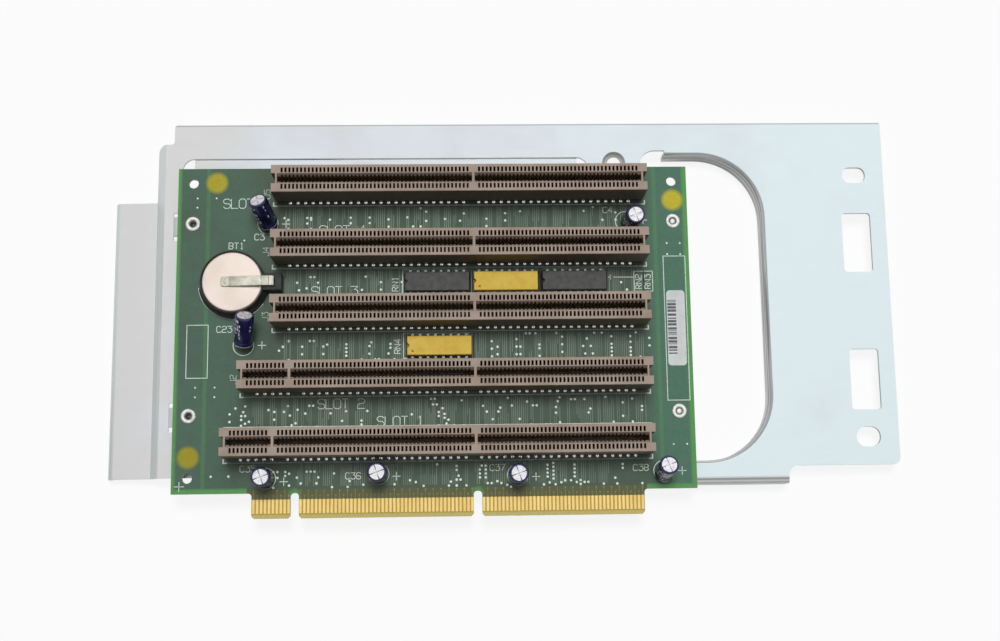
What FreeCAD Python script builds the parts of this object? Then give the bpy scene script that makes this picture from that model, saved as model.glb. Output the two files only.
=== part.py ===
import FreeCAD, Part
import math
import os
import re
import Sketcher

# A five-slot riser card on its folded steel bracket, lying face up on the bracket's rear flanges.
# Millimetres. +X runs along the slots, +Y away from the edge contacts, +Z out of the component face.

SIZES = [
    # Levels above the surface that the bracket lies on
    ("sheet_thickness", "1.2", "steel sheet of the bracket"),
    ("plate_height", "8.0", "front face of the bracket plate"),
    ("board_gap", "2.4", "space between plate and board, bridged by the raised tabs"),
    ("board_thickness", "1.6", "laminate"),
    ("board_back", "=plate_height + board_gap", "rear face of the board"),
    ("board_front", "=board_back + board_thickness", "component face of the board"),
    # Card slots
    ("contact_pitch", "1.27", "spacing of the contacts in slots and edge tabs"),
    ("slot_pitch", "21.55", "spacing of the card slots"),
    ("slot_end", "3.5", "from the last contact to the end of a slot housing"),
    ("slot_width", "9.1", "slot housing across the slot"),
    ("slot_height", "14.0", "slot housing above the board"),
    ("slot_foot", "1.3", "feet that hold a slot housing off the board"),
    ("slot_foot_length", "3.0", "feet along the housing"),
    ("slot_foot_inset", "0.6", "feet in from the long sides"),
    ("card_gap", "1.8", "slot that takes the card edge"),
    ("card_depth", "9.5", "depth of that slot"),
    ("lead_in", "0.8", "width of the lead-in chamfer"),
    ("lead_in_depth", "1.2", "depth of the lead-in chamfer"),
    ("rail_overhang", "1.35", "side rails beyond the end walls of the card slot"),
    ("slot_end_wall", "0.6", "end wall of the card slot"),
    ("key_bar", "1.1", "bar across the card slot at a key"),
    # Board outline
    ("board_left", "-109.28", "left edge of the board"),
    ("board_bottom", "-58.775", "lower edge of the board beside the edge tabs"),
    ("left_margin", "17.62", "from the left edge to the longest slot"),
    ("right_margin", "15.26", "from the slots to the right edge"),
    ("first_slot_inset", "15.75", "from the lower edge to the middle of slot 1"),
    ("last_slot_inset", "7.25", "from the middle of slot 5 to the top edge"),
    ("edge_tab_depth", "8.2", "edge tabs below the lower edge"),
    ("edge_notch", "2.8", "key notches between the edge tabs"),
    ("edge_notch_round", "1.2", "corners at the root of the notches and tabs"),
    ("edge_tip_cut", "0.8", "cut corners at the tips of the edge tabs"),
    ("edge_bevel", "1.6", "length of the bevel at the tips of the edge tabs"),
    ("edge_bevel_depth", "0.45", "depth of that bevel on each face"),
    ("hole_inset", "5.1", "tooling holes and eyelets in from the board edges"),
    ("tooling_hole", "3.3", "diameter of the tooling holes"),
    # Edge contacts
    ("finger_shift", "0.6", "first edge contact to the right of the first slot contact"),
    ("finger_width", "1.0", "edge contact"),
    ("finger_length", "4.6", "edge contact"),
    ("finger_inset", "1.6", "edge contact up from the tip of its tab"),
    ("finger_thickness", "0.05", "plated foil"),
    # Eyelets that hold the board to the bracket
    ("eyelet_low", "25.4", "lower eyelets above the lower edge"),
    ("eyelet_span", "64.7", "upper eyelets above the lower ones"),
    ("eyelet_tube", "3.2", "outside of the tube"),
    ("eyelet_bore", "2.2", "bore"),
    ("eyelet_head", "5.0", "head on the board"),
    ("eyelet_roll", "4.4", "rolled end behind the tab"),
    ("eyelet_head_height", "0.5", "head and rolled end"),
    ("eyelet_clearance", "0.05", "round the tube"),
    # Bracket
    ("tab_width", "6.4", "raised tabs that carry the board"),
    ("tab_past_eyelet", "5.0", "tabs beyond the eyelets"),
    ("tab_root", "1.5", "overlap of a raised tab with its plate"),
    ("relief_width", "1.6", "bend reliefs beside the tabs"),
    ("relief_depth", "2.7", "bend reliefs"),
    ("window_left_inset", "0.5", "window edge in from the left edge of the board"),
    ("window_above", "4.65", "window edge above the top edge of the board"),
    ("window_round", "4.0", "upper corners of the window"),
    ("low_rail", "7.85", "lower rail between the window and the folded lower edge"),
    ("low_edge_below", "1.4", "folded lower edge above the lower edge of the board"),
    ("low_step", "4.05", "raw lower edge above the folded one on the left"),
    ("low_fold_start", "18.2", "folded lower edge from the left edge of the board"),
    ("low_fold_past", "31.6", "folded lower edge past the right edge of the board"),
    ("plate_low_step", "5.85", "raw lower edge above the folded one on the right"),
    ("step_round", "3.4", "round at the right step of the lower edge"),
    ("low_step_round", "2.2", "round at the left step of the lower edge"),
    ("top_rail", "11.9", "rail above the window"),
    ("rail_left", "2.5", "end of the top rail left of the board"),
    ("web_width", "18.0", "web between the window and the cable opening"),
    ("web_inset", "15.0", "right edge of the web in from the right edge of the board"),
    ("rim_start", "6.5", "end of the rim flange in from the right edge of the board"),
    ("rim_past", "26.6", "rim flange past the right edge of the board"),
    ("rim_above", "0.6", "rim flange above the window edge"),
    ("rim_relief", "1.7", "relief past the rim flange at its ends"),
    ("rim_relief_round", "5.0", "corner of those reliefs"),
    ("rim_round", "22.0", "large corners of the cable opening"),
    ("bend_radius", "1.2", "outside of the rear bends"),
    ("plate_past", "42.7", "plate to the right of the cable opening"),
    ("plate_round", "2.4", "lower right corner of the plate"),
    ("rail_round", "0.9", "upper corners of the plate"),
    ("shelf_drop", "0.6", "lip of the window behind the plate"),
    ("shelf_depth", "7.2", "lip below the window edge"),
    ("shelf_slope", "0.35", "slope of the step to that lip"),
    ("shelf_right", "3.8", "right end of the lip from the web"),
    ("wing_start", "5.3", "start of the step down to the left wing from the board"),
    ("wing_drop", "3.0", "left wing behind the plate"),
    ("wing_fall", "1.0", "fall of the wing towards its lip"),
    ("wing_width", "17.4", "from the step to the lip of the left wing"),
    ("wing_top", "10.0", "top of the wing below the top edge of the board"),
    ("wing_lip_radius", "2.0", "outside of the bend at the lip"),
    ("wing_shoulder", "9.8", "top of the step above the top edge of the board"),
    ("shoulder_round", "1.2", "inner corner between the step and the top rail"),
    ("step_corner", "2.4", "rounded upper corner of the step"),
    ("screw_hole", "4.6", "countersunk hole in the web"),
    ("screw_head", "8.0", "mouth of the countersink"),
    ("screw_below", "2.1", "countersunk hole below the window edge"),
    ("screw_web", "9.0", "countersunk hole from the left edge of the web"),
    ("slot_holes_inset", "10.3", "holes at the right in from the plate edge"),
    ("upper_oval_below", "18.8", "upper oval hole below the top edge of the plate"),
    ("upper_oval_length", "8.0", "upper oval hole"),
    ("upper_oval_width", "5.5", "upper oval hole"),
    ("upper_window_below", "42.6", "middle of the upper square window below the top edge of the plate"),
    ("lower_window_below", "89.8", "middle of the lower square window below the top edge of the plate"),
    ("square_window_width", "9.9", "square windows"),
    ("square_window_height", "20.6", "square windows"),
    ("square_window_round", "1.2", "corners of the square windows"),
    ("oval_flat", "0.3", "short straight stretch at the ends of the oval holes"),
    ("lower_oval_above", "9.3", "lower oval hole above the raw lower edge"),
    ("lower_oval_length", "8.1", "lower oval hole"),
    ("lower_oval_width", "6.8", "lower oval hole"),
    # Coin cell and its holder
    ("cell_diameter", "20.0", "coin cell"),
    ("cell_height", "3.2", "coin cell"),
    ("cell_round", "0.5", "upper edge of the coin cell"),
    ("cell_clearance", "0.15", "round the coin cell"),
    ("cell_left", "13.6", "middle of the cell left of the short slots"),
    ("cell_low", "0.25", "middle of the cell below the middle of two slots"),
    ("holder_floor", "1.2", "floor of the holder"),
    ("holder_wall", "0.65", "wall of the holder"),
    ("holder_rim", "0.2", "rim of the holder above the cell"),
    ("holder_base", "0.75", "base of the holder past its wall"),
    ("holder_base_height", "2.2", "base of the holder"),
    ("holder_block_length", "16.3", "clip block from the middle of the cell"),
    ("holder_block_width", "5.8", "clip block"),
    ("clip_width", "3.3", "spring clip"),
    ("clip_thickness", "0.4", "spring clip"),
    ("clip_leg", "14.1", "leg of the clip from the middle of the cell"),
    ("clip_flat", "9.6", "end of the flat run of the clip from the middle of the cell"),
    ("clip_rise", "1.5", "flat run of the clip above the cell"),
    ("clip_touch", "2.2", "touching point of the clip beyond the middle of the cell"),
    ("clip_toe", "3.8", "toe of the clip beyond the middle of the cell"),
    ("clip_toe_rise", "0.5", "toe of the clip above the cell"),
    ("clip_socket", "2.6", "depth of the leg in the block"),
    ("clip_clearance", "0.1", "round the leg in the block"),
    ("base_contact_thickness", "0.3", "contact strip under the cell"),
    ("base_contact_width", "4.0", "contact strip under the cell"),
    ("base_contact_length", "14.0", "contact strip under the cell"),
    # Electrolytic capacitors
    ("can_diameter", "6.0", "aluminium can"),
    ("can_height", "11.0", "aluminium can"),
    ("sleeve_thickness", "0.15", "sleeve"),
    ("cap_standoff", "0.4", "capacitors off the board"),
    ("wire_diameter", "0.6", "capacitor leads"),
    ("wire_reach", "1.0", "capacitor leads past the board face before they are trimmed"),
    ("wire_spacing", "2.5", "capacitor leads"),
    # Resistor packs
    ("pack_length", "21.6", "body"),
    ("pack_width", "6.9", "body"),
    ("pack_height", "3.4", "body"),
    ("pack_standoff", "0.9", "body off the board"),
    ("pack_taper", "0.25", "draft of the sides above and below the leads"),
    ("pack_spacing", "22.86", "packs in a row"),
    ("pack_low", "0.5", "packs below the middle of two slots"),
    ("pack_right", "20.5", "middle of the right pack from the first slot contact"),
    ("low_pack_shift", "0.6", "pack of the lower row to the right of the one above it"),
    ("pack_notch", "1.6", "width of the end notch"),
    ("pack_notch_depth", "0.5", "end notch"),
    ("lead_spacing", "2.54", "leads along a pack"),
    ("lead_row", "7.62", "rows of leads"),
    ("lead_thickness", "0.25", "leads"),
    ("lead_width", "0.8", "leads"),
    # Label
    ("label_length", "25.5", "label"),
    ("label_width", "6.2", "label"),
    ("label_thickness", "0.1", "label"),
    ("label_cut", "0.6", "cut corners of the label"),
    ("label_right", "5.05", "middle of the label in from the right edge of the board"),
    ("label_above", "53.4", "middle of the label above the lower edge of the board"),
]

# Capacitors: slot above, line that the distance to the left is measured from, that distance, distance below
# the middle of the slot, lean in degrees and the heading of the lean
CAPACITOR_SPOTS = [
    (5, "housing end", 1.95, 12.6, 37, 115),
    (5, "first contact", 1.0, 12.2, 4, 0),
    (3, "housing end", 9.75, 10.0, 50, 81),
    (1, "first contact", 122.7, 11.0, 0, 0),
    (1, "first contact", 85.8, 9.9, 0, 0),
    (1, "first contact", 40.3, 10.8, 0, 0),
    (1, "first contact", -7.7, 11.0, 12, 83),
]
for number, spot in enumerate(CAPACITOR_SPOTS, start=1):
    for word, value in zip(("left", "below", "lean", "heading"), spot[2:]):
        SIZES.append(("capacitor_%d_%s" % (number, word), str(value), "capacitor %d, %s" % (number, word)))

# Runs of contacts in each slot, counted from the right, with two places left out at each key
SHORT_RUNS = [42, 49]
SLOT_RUNS = {1: [42, 49, 10], 2: [42, 45, 10], 3: SHORT_RUNS, 4: SHORT_RUNS, 5: SHORT_RUNS}
EDGE_RUNS = [42, 45, 10]
KEY_PLACES = 2
LEADS_PER_SIDE = 8
WIRE_SIDES = 6
NEAR = 0.05

doc = FreeCAD.newDocument("RiserCard")
sheet = doc.addObject("Spreadsheet::Sheet", "dims")
for row, (alias, value, note) in enumerate(SIZES, start=1):
    sheet.set("A%d" % row, note)
    sheet.set("B%d" % row, value)
    sheet.setAlias("B%d" % row, alias)
doc.recompute()

NAMES = {alias for alias, value, note in SIZES}
nodes = []


def tied(expression):
    # The expression with every named size read from the sheet
    def from_sheet(found):
        word = found.group(0)
        return "dims." + word if word in NAMES else word
    return re.sub(r"[a-z_]\w*", from_sheet, expression)


def size(expression):
    return float(sheet.evalExpression(tied(expression)))


def new_body(label):
    body = doc.addObject("PartDesign::Body", label)
    body.Label = label
    nodes.append(body)
    return body


def new_sketch(body, name, role="XY_Plane", offset="0"):
    sketch = body.newObject("Sketcher::SketchObject", body.Name + "_" + name)
    plane = [feature for feature in body.Origin.OriginFeatures if feature.Role == role][0]
    sketch.AttachmentSupport = [(plane, "")]
    sketch.MapMode = "FlatFace"
    sketch.setExpression("AttachmentOffset.Base.z", tied(offset))
    return sketch


def pin(sketch, geometry, point, x, y):
    # Hold one point of the sketch at two sizes of the sheet
    for kind, expression in (("DistanceX", x), ("DistanceY", y)):
        constraint = Sketcher.Constraint(kind, geometry, point, size(expression))
        index = sketch.addConstraint(constraint)
        sketch.setExpression("Constraints[%d]" % index, tied(expression))


def shifted(corner, direction, sign):
    # Point of an outline moved along X or Y by the corner's own radius
    x, y, radius = corner
    along_x, along_y = direction
    if along_x:
        return "%s + %d * (%s)" % (x, sign * along_x, radius), y
    return x, "%s + %d * (%s)" % (y, sign * along_y, radius)


def turn_arc(sketch, entry, leave, way_in, way_out, radius):
    # Arc between two square edges; it always runs anticlockwise, whichever way the outline turns
    left_turn = way_in[0] * way_out[1] - way_in[1] * way_out[0] > 0
    side = 1 if left_turn else -1
    middle = entry + FreeCAD.Vector(-way_in[1] * side, way_in[0] * side, 0) * size(radius)
    first, last = (entry, leave) if left_turn else (leave, entry)
    angles = [math.atan2(point.y - middle.y, point.x - middle.x) for point in (first, last)]
    if angles[1] < angles[0]:
        angles[1] += 2 * math.pi
    round_line = Part.Circle(middle, FreeCAD.Vector(0, 0, 1), size(radius))
    arc = sketch.addGeometry(Part.ArcOfCircle(round_line, angles[0], angles[1]), False)
    index = sketch.addConstraint(Sketcher.Constraint("Radius", arc, size(radius)))
    sketch.setExpression("Constraints[%d]" % index, tied(radius))
    return (arc, 1, 2) if left_turn else (arc, 2, 1)


def point_at(place_pair):
    return FreeCAD.Vector(size(place_pair[0]), size(place_pair[1]), 0)


def way(distance):
    # Direction of travel along one axis: forward, back or none
    return 0 if abs(distance) < NEAR / 1000 else round(math.copysign(1, distance))


def outline(sketch, corners):
    # Closed run of edges through corners given as two sizes; a third rounds a corner between square edges
    count = len(corners)
    points = [point_at(corner) for corner in corners]
    steps = [points[(i + 1) % count] - points[i] for i in range(count)]
    ways = [(way(step.x), way(step.y)) for step in steps]
    entries, leaves = list(corners), list(corners)
    for i, corner in enumerate(corners):
        if len(corner) == 3:
            entries[i] = shifted(corner, ways[i - 1], -1)
            leaves[i] = shifted(corner, ways[i], 1)
    chain = []
    for i in range(count):
        following = (i + 1) % count
        entry = point_at(entries[following])
        line = sketch.addGeometry(Part.LineSegment(point_at(leaves[i]), entry), False)
        pin(sketch, line, 1, *leaves[i])
        chain.append((line, 1, 2))
        if len(corners[following]) == 3:
            pin(sketch, line, 2, *entries[following])
            away = point_at(leaves[following])
            chain.append(turn_arc(sketch, entry, away, ways[i], ways[following], corners[following][2]))
    for here, there in zip(chain, chain[1:] + chain[:1]):
        sketch.addConstraint(Sketcher.Constraint("Coincident", here[0], here[2], there[0], there[1]))


def rectangle(sketch, left, bottom, right, top, radius=None):
    corners = [(left, bottom), (right, bottom), (right, top), (left, top)]
    outline(sketch, [corner + (radius,) for corner in corners] if radius else corners)


def circle(sketch, x, y, diameter):
    middle = FreeCAD.Vector(size(x), size(y), 0)
    radius = size(diameter) / 2
    index = sketch.addGeometry(Part.Circle(middle, FreeCAD.Vector(0, 0, 1), radius), False)
    pin(sketch, index, 3, x, y)
    constraint = sketch.addConstraint(Sketcher.Constraint("Diameter", index, 2 * radius))
    sketch.setExpression("Constraints[%d]" % constraint, tied(diameter))


def pad(body, sketch, length, symmetric=False, reverse=False):
    feature = body.newObject("PartDesign::Pad", sketch.Name + "_pad")
    feature.Profile = sketch
    feature.Reversed = reverse
    feature.SideType = "Symmetric" if symmetric else "One side"
    feature.setExpression("Length", tied(length))
    doc.recompute()
    return feature


def pocket(body, sketch, depth=None, reverse=False):
    # Without a depth the pocket goes through everything on both sides of its sketch
    before = body.Shape.Volume
    feature = body.newObject("PartDesign::Pocket", sketch.Name + "_pocket")
    feature.Profile = sketch
    feature.Reversed = reverse
    if depth is None:
        feature.SideType = "Symmetric"
        feature.Type = "ThroughAll"
    else:
        feature.setExpression("Length", tied(depth))
    doc.recompute()
    if body.Shape.Volume >= before:
        raise RuntimeError(feature.Name + " cuts nothing")
    return feature


def revolve(body, sketch):
    feature = body.newObject("PartDesign::Revolution", sketch.Name + "_revolution")
    feature.Profile = sketch
    feature.ReferenceAxis = (sketch, ["V_Axis"])
    feature.Angle = 360
    doc.recompute()
    return feature


def spin_about(body, sketch, x, kind):
    # Turn a section about an upright line at x
    foot, head = FreeCAD.Vector(size(x), 0, 0), FreeCAD.Vector(size(x), size("plate_height"), 0)
    axis = sketch.addGeometry(Part.LineSegment(foot, head), True)
    pin(sketch, axis, 1, x, "0")
    pin(sketch, axis, 2, x, "plate_height")
    feature = body.newObject(kind, sketch.Name + "_spun")
    feature.Profile = sketch
    feature.ReferenceAxis = (sketch, ["Axis0"])
    feature.Angle = 360
    doc.recompute()


def row_of(body, feature, sketch, axis, spacing, count):
    pattern = body.newObject("PartDesign::LinearPattern", feature.Name + "_row")
    pattern.Originals = [feature]
    pattern.Direction = (sketch, [axis])
    pattern.Occurrences = count
    pattern.setExpression("Length", tied("(%s) * %d" % (spacing, count - 1)))
    body.Tip = pattern
    doc.recompute()
    return pattern


def edges_in_box(shape, low, high):
    # Names of the edges that lie wholly inside a box, given by two corners and a little more
    room = FreeCAD.BoundBox(*[size(expression) for expression in low + high])
    room.enlarge(NEAR)
    names = []
    for number, edge in enumerate(shape.Edges, start=1):
        box = edge.BoundBox
        ends = ((box.XMin, box.YMin, box.ZMin), (box.XMax, box.YMax, box.ZMax))
        if all(room.isInside(FreeCAD.Vector(*end)) for end in ends):
            names.append("Edge%d" % number)
    return names


def round_edges(body, names, radius):
    base = body.Tip
    if not names:
        raise RuntimeError(base.Name + " has no such edge")
    feature = body.newObject("PartDesign::Fillet", base.Name + "_round")
    feature.Base = (base, names)
    feature.setExpression("Radius", tied(radius))
    doc.recompute()
    if "Invalid" in feature.State:
        raise RuntimeError(feature.Name + " does not fit")
    return feature


def place(body, x, y, z):
    for axis, expression in (("x", x), ("y", y), ("z", z)):
        body.setExpression("Placement.Base." + axis, tied(expression))
    doc.recompute()


# Lines that several pieces share
LONGEST = sum(SLOT_RUNS[1]) + KEY_PLACES * (len(SLOT_RUNS[1]) - 1) - 1
SLOT_RIGHT = "(board_left + left_margin + 2 * slot_end + %d * contact_pitch)" % LONGEST
BOARD_RIGHT = "(%s + right_margin)" % SLOT_RIGHT
CONTACT_ZERO = "(%s - slot_end)" % SLOT_RIGHT
BOARD_TOP = "(board_bottom + first_slot_inset + 4 * slot_pitch + last_slot_inset)"
TAB_TIP = "(board_bottom - edge_tab_depth)"
FINGER_ZERO = "(%s + finger_shift)" % CONTACT_ZERO
EYELET_HOLE = "eyelet_tube + 2 * eyelet_clearance"
EYELETS = [(x, y) for x in ("(board_left + hole_inset)", "(%s - hole_inset)" % BOARD_RIGHT)
           for y in ("(board_bottom + eyelet_low)", "(board_bottom + eyelet_low + eyelet_span)")]
PLATE_BACK = "(plate_height - sheet_thickness)"
# Shift between the two faces of the sheet where it bends by 45 degrees
MITRE = "(sheet_thickness * tan(22.5 deg))"


def slot_middle(number):
    return "(board_bottom + first_slot_inset + %s * slot_pitch)" % (number - 1)


def column(place_number):
    return "(%s - %s * contact_pitch)" % (CONTACT_ZERO, place_number)


def finger(place_number):
    return "(%s - %s * contact_pitch)" % (FINGER_ZERO, place_number)


def run_starts(runs):
    # First place of each run of contacts
    starts = []
    place_number = 0
    for run in runs:
        starts.append(place_number)
        place_number += run + KEY_PLACES
    return starts


# Left end of the short slot housings
SHORT_END = "(%s - slot_end)" % column(run_starts(SHORT_RUNS)[-1] + SHORT_RUNS[-1] - 1)


def tab_tip(side, way_in):
    # Cut corner at the tip of an edge tab, from its side to its end
    return [(side, TAB_TIP + " + edge_tip_cut"), ("%s %s edge_tip_cut" % (side, way_in), TAB_TIP)]


def make_board():
    body = new_body("circuit_board")
    starts = run_starts(EDGE_RUNS)
    tab_left = finger(starts[-1] + EDGE_RUNS[-1] - 0.5)
    tab_right = finger(-0.5)
    key_middle = (KEY_PLACES + 1) / 2
    notches = [finger(start + run - 1 + key_middle) for start, run in zip(starts, EDGE_RUNS[:-1])]
    root = "edge_notch_round"
    corners = [("board_left", "board_bottom"), (tab_left, "board_bottom", root)] + tab_tip(tab_left, "+")
    for notch in reversed(notches):
        left, right = notch + " - edge_notch / 2", notch + " + edge_notch / 2"
        corners += tab_tip(left, "-")[::-1]
        corners += [(left, "board_bottom", root), (right, "board_bottom", root)]
        corners += tab_tip(right, "+")
    corners += tab_tip(tab_right, "-")[::-1]
    corners += [(tab_right, "board_bottom", root), (BOARD_RIGHT, "board_bottom"),
                (BOARD_RIGHT, BOARD_TOP), ("board_left", BOARD_TOP)]
    sketch = new_sketch(body, "outline", offset="board_back")
    outline(sketch, corners)
    pad(body, sketch, "board_thickness")
    holes = new_sketch(body, "holes", offset="board_back")
    right_holes = "%s - hole_inset" % BOARD_RIGHT
    top_holes = "%s - hole_inset" % BOARD_TOP
    circle(holes, "board_left + hole_inset", "board_bottom + hole_inset", "tooling_hole")
    circle(holes, "board_left + hole_inset", top_holes, "tooling_hole")
    circle(holes, right_holes, top_holes, "tooling_hole")
    for x, y in EYELETS:
        circle(holes, x, y, EYELET_HOLE)
    pocket(body, holes)
    # Bevel on both faces along the tips of the edge tabs
    bevel = new_sketch(body, "bevel", "YZ_Plane")
    bevel_top = TAB_TIP + " + edge_bevel"
    for face, depth in (("board_back", "+ edge_bevel_depth"), ("board_front", "- edge_bevel_depth")):
        outline(bevel, [(TAB_TIP, face), (bevel_top, face), (TAB_TIP, face + depth)])
    pocket(body, bevel)


def make_edge_contacts(label, level):
    # Plated contacts on one face of the edge tabs
    body = new_body(label)
    bottom = TAB_TIP + " + finger_inset"
    for start, run in zip(run_starts(EDGE_RUNS), EDGE_RUNS):
        last = finger(start + run - 1)
        sketch = new_sketch(body, "run%d" % run, offset=level)
        rectangle(sketch, last + " - finger_width / 2", bottom, last + " + finger_width / 2",
                  bottom + " + finger_length")
        foil = pad(body, sketch, "finger_thickness")
        row_of(body, foil, sketch, "H_Axis", "contact_pitch", run)


def make_slot(number):
    body = new_body("slot_%d" % number)
    runs = SLOT_RUNS[number]
    starts = run_starts(runs)
    places = starts[-1] + runs[-1] - 1
    middle = slot_middle(number)
    left = column(places) + " - slot_end"
    right = SLOT_RIGHT
    low, high = middle + " - slot_width / 2", middle + " + slot_width / 2"
    block = new_sketch(body, "block", offset="board_front + slot_foot")
    rectangle(block, left, low, right, high)
    pad(body, block, "slot_height - slot_foot")
    # Feet under both ends and under each key
    keys = [column(start + run - 1 + (KEY_PLACES + 1) / 2) for start, run in zip(starts, runs[:-1])]
    feet = new_sketch(body, "feet", offset="board_front")
    foot_low, foot_high = low + " + slot_foot_inset", high + " - slot_foot_inset"
    left_wall, right_wall = left + " + rail_overhang", right + " - rail_overhang"
    rectangle(feet, left_wall, foot_low, left_wall + " + slot_foot_length", foot_high)
    rectangle(feet, right_wall + " - slot_foot_length", foot_low, right_wall, foot_high)
    for key in keys:
        rectangle(feet, key + " - key_bar", foot_low, key + " + key_bar", foot_high)
    pad(body, feet, "slot_foot")
    # Side rails stand past the end walls of the card slot
    ends = new_sketch(body, "ends", offset="board_front")
    mouth = "(card_gap / 2 + lead_in)"
    rectangle(ends, left, middle + " - " + mouth, left_wall, middle + " + " + mouth)
    rectangle(ends, right_wall, middle + " - " + mouth, right, middle + " + " + mouth)
    pocket(body, ends)
    # Card slot with its lead-in, cut between the end walls and the key bars
    walls = [left_wall + " + slot_end_wall"]
    for key in reversed(keys):
        walls += [key + " - key_bar / 2", key + " + key_bar / 2"]
    walls.append(right_wall + " - slot_end_wall")
    top = "(board_front + slot_height)"
    for index in range(0, len(walls), 2):
        section = new_sketch(body, "card%d" % index, "YZ_Plane", walls[index])
        outline(section, [(middle + " - " + mouth, top), (middle + " + " + mouth, top),
                          (middle + " + card_gap / 2", top + " - lead_in_depth"),
                          (middle + " + card_gap / 2", top + " - card_depth"),
                          (middle + " - card_gap / 2", top + " - card_depth"),
                          (middle + " - card_gap / 2", top + " - lead_in_depth")])
        pocket(body, section, "(%s) - (%s)" % (walls[index + 1], walls[index]), reverse=True)


def make_eyelets():
    # Tubular eyelets through the board and the raised tabs, with a flared head and a rolled tail
    body = new_body("eyelets")
    head = "board_front + eyelet_head_height"
    seat = "board_back - sheet_thickness"
    tail = seat + " - eyelet_head_height"
    for number, (x, y) in enumerate(EYELETS):
        sketch = new_sketch(body, "section%d" % number, "XZ_Plane", "0 - %s" % y)
        bore, tube = x + " + eyelet_bore / 2", x + " + eyelet_tube / 2"
        outline(sketch, [(bore, tail), (x + " + eyelet_roll / 2", seat), (tube, seat), (tube, "board_front"),
                         (x + " + eyelet_head / 2", "board_front"), (bore, head)])
        spin_about(body, sketch, x, "PartDesign::Revolution")


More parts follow.
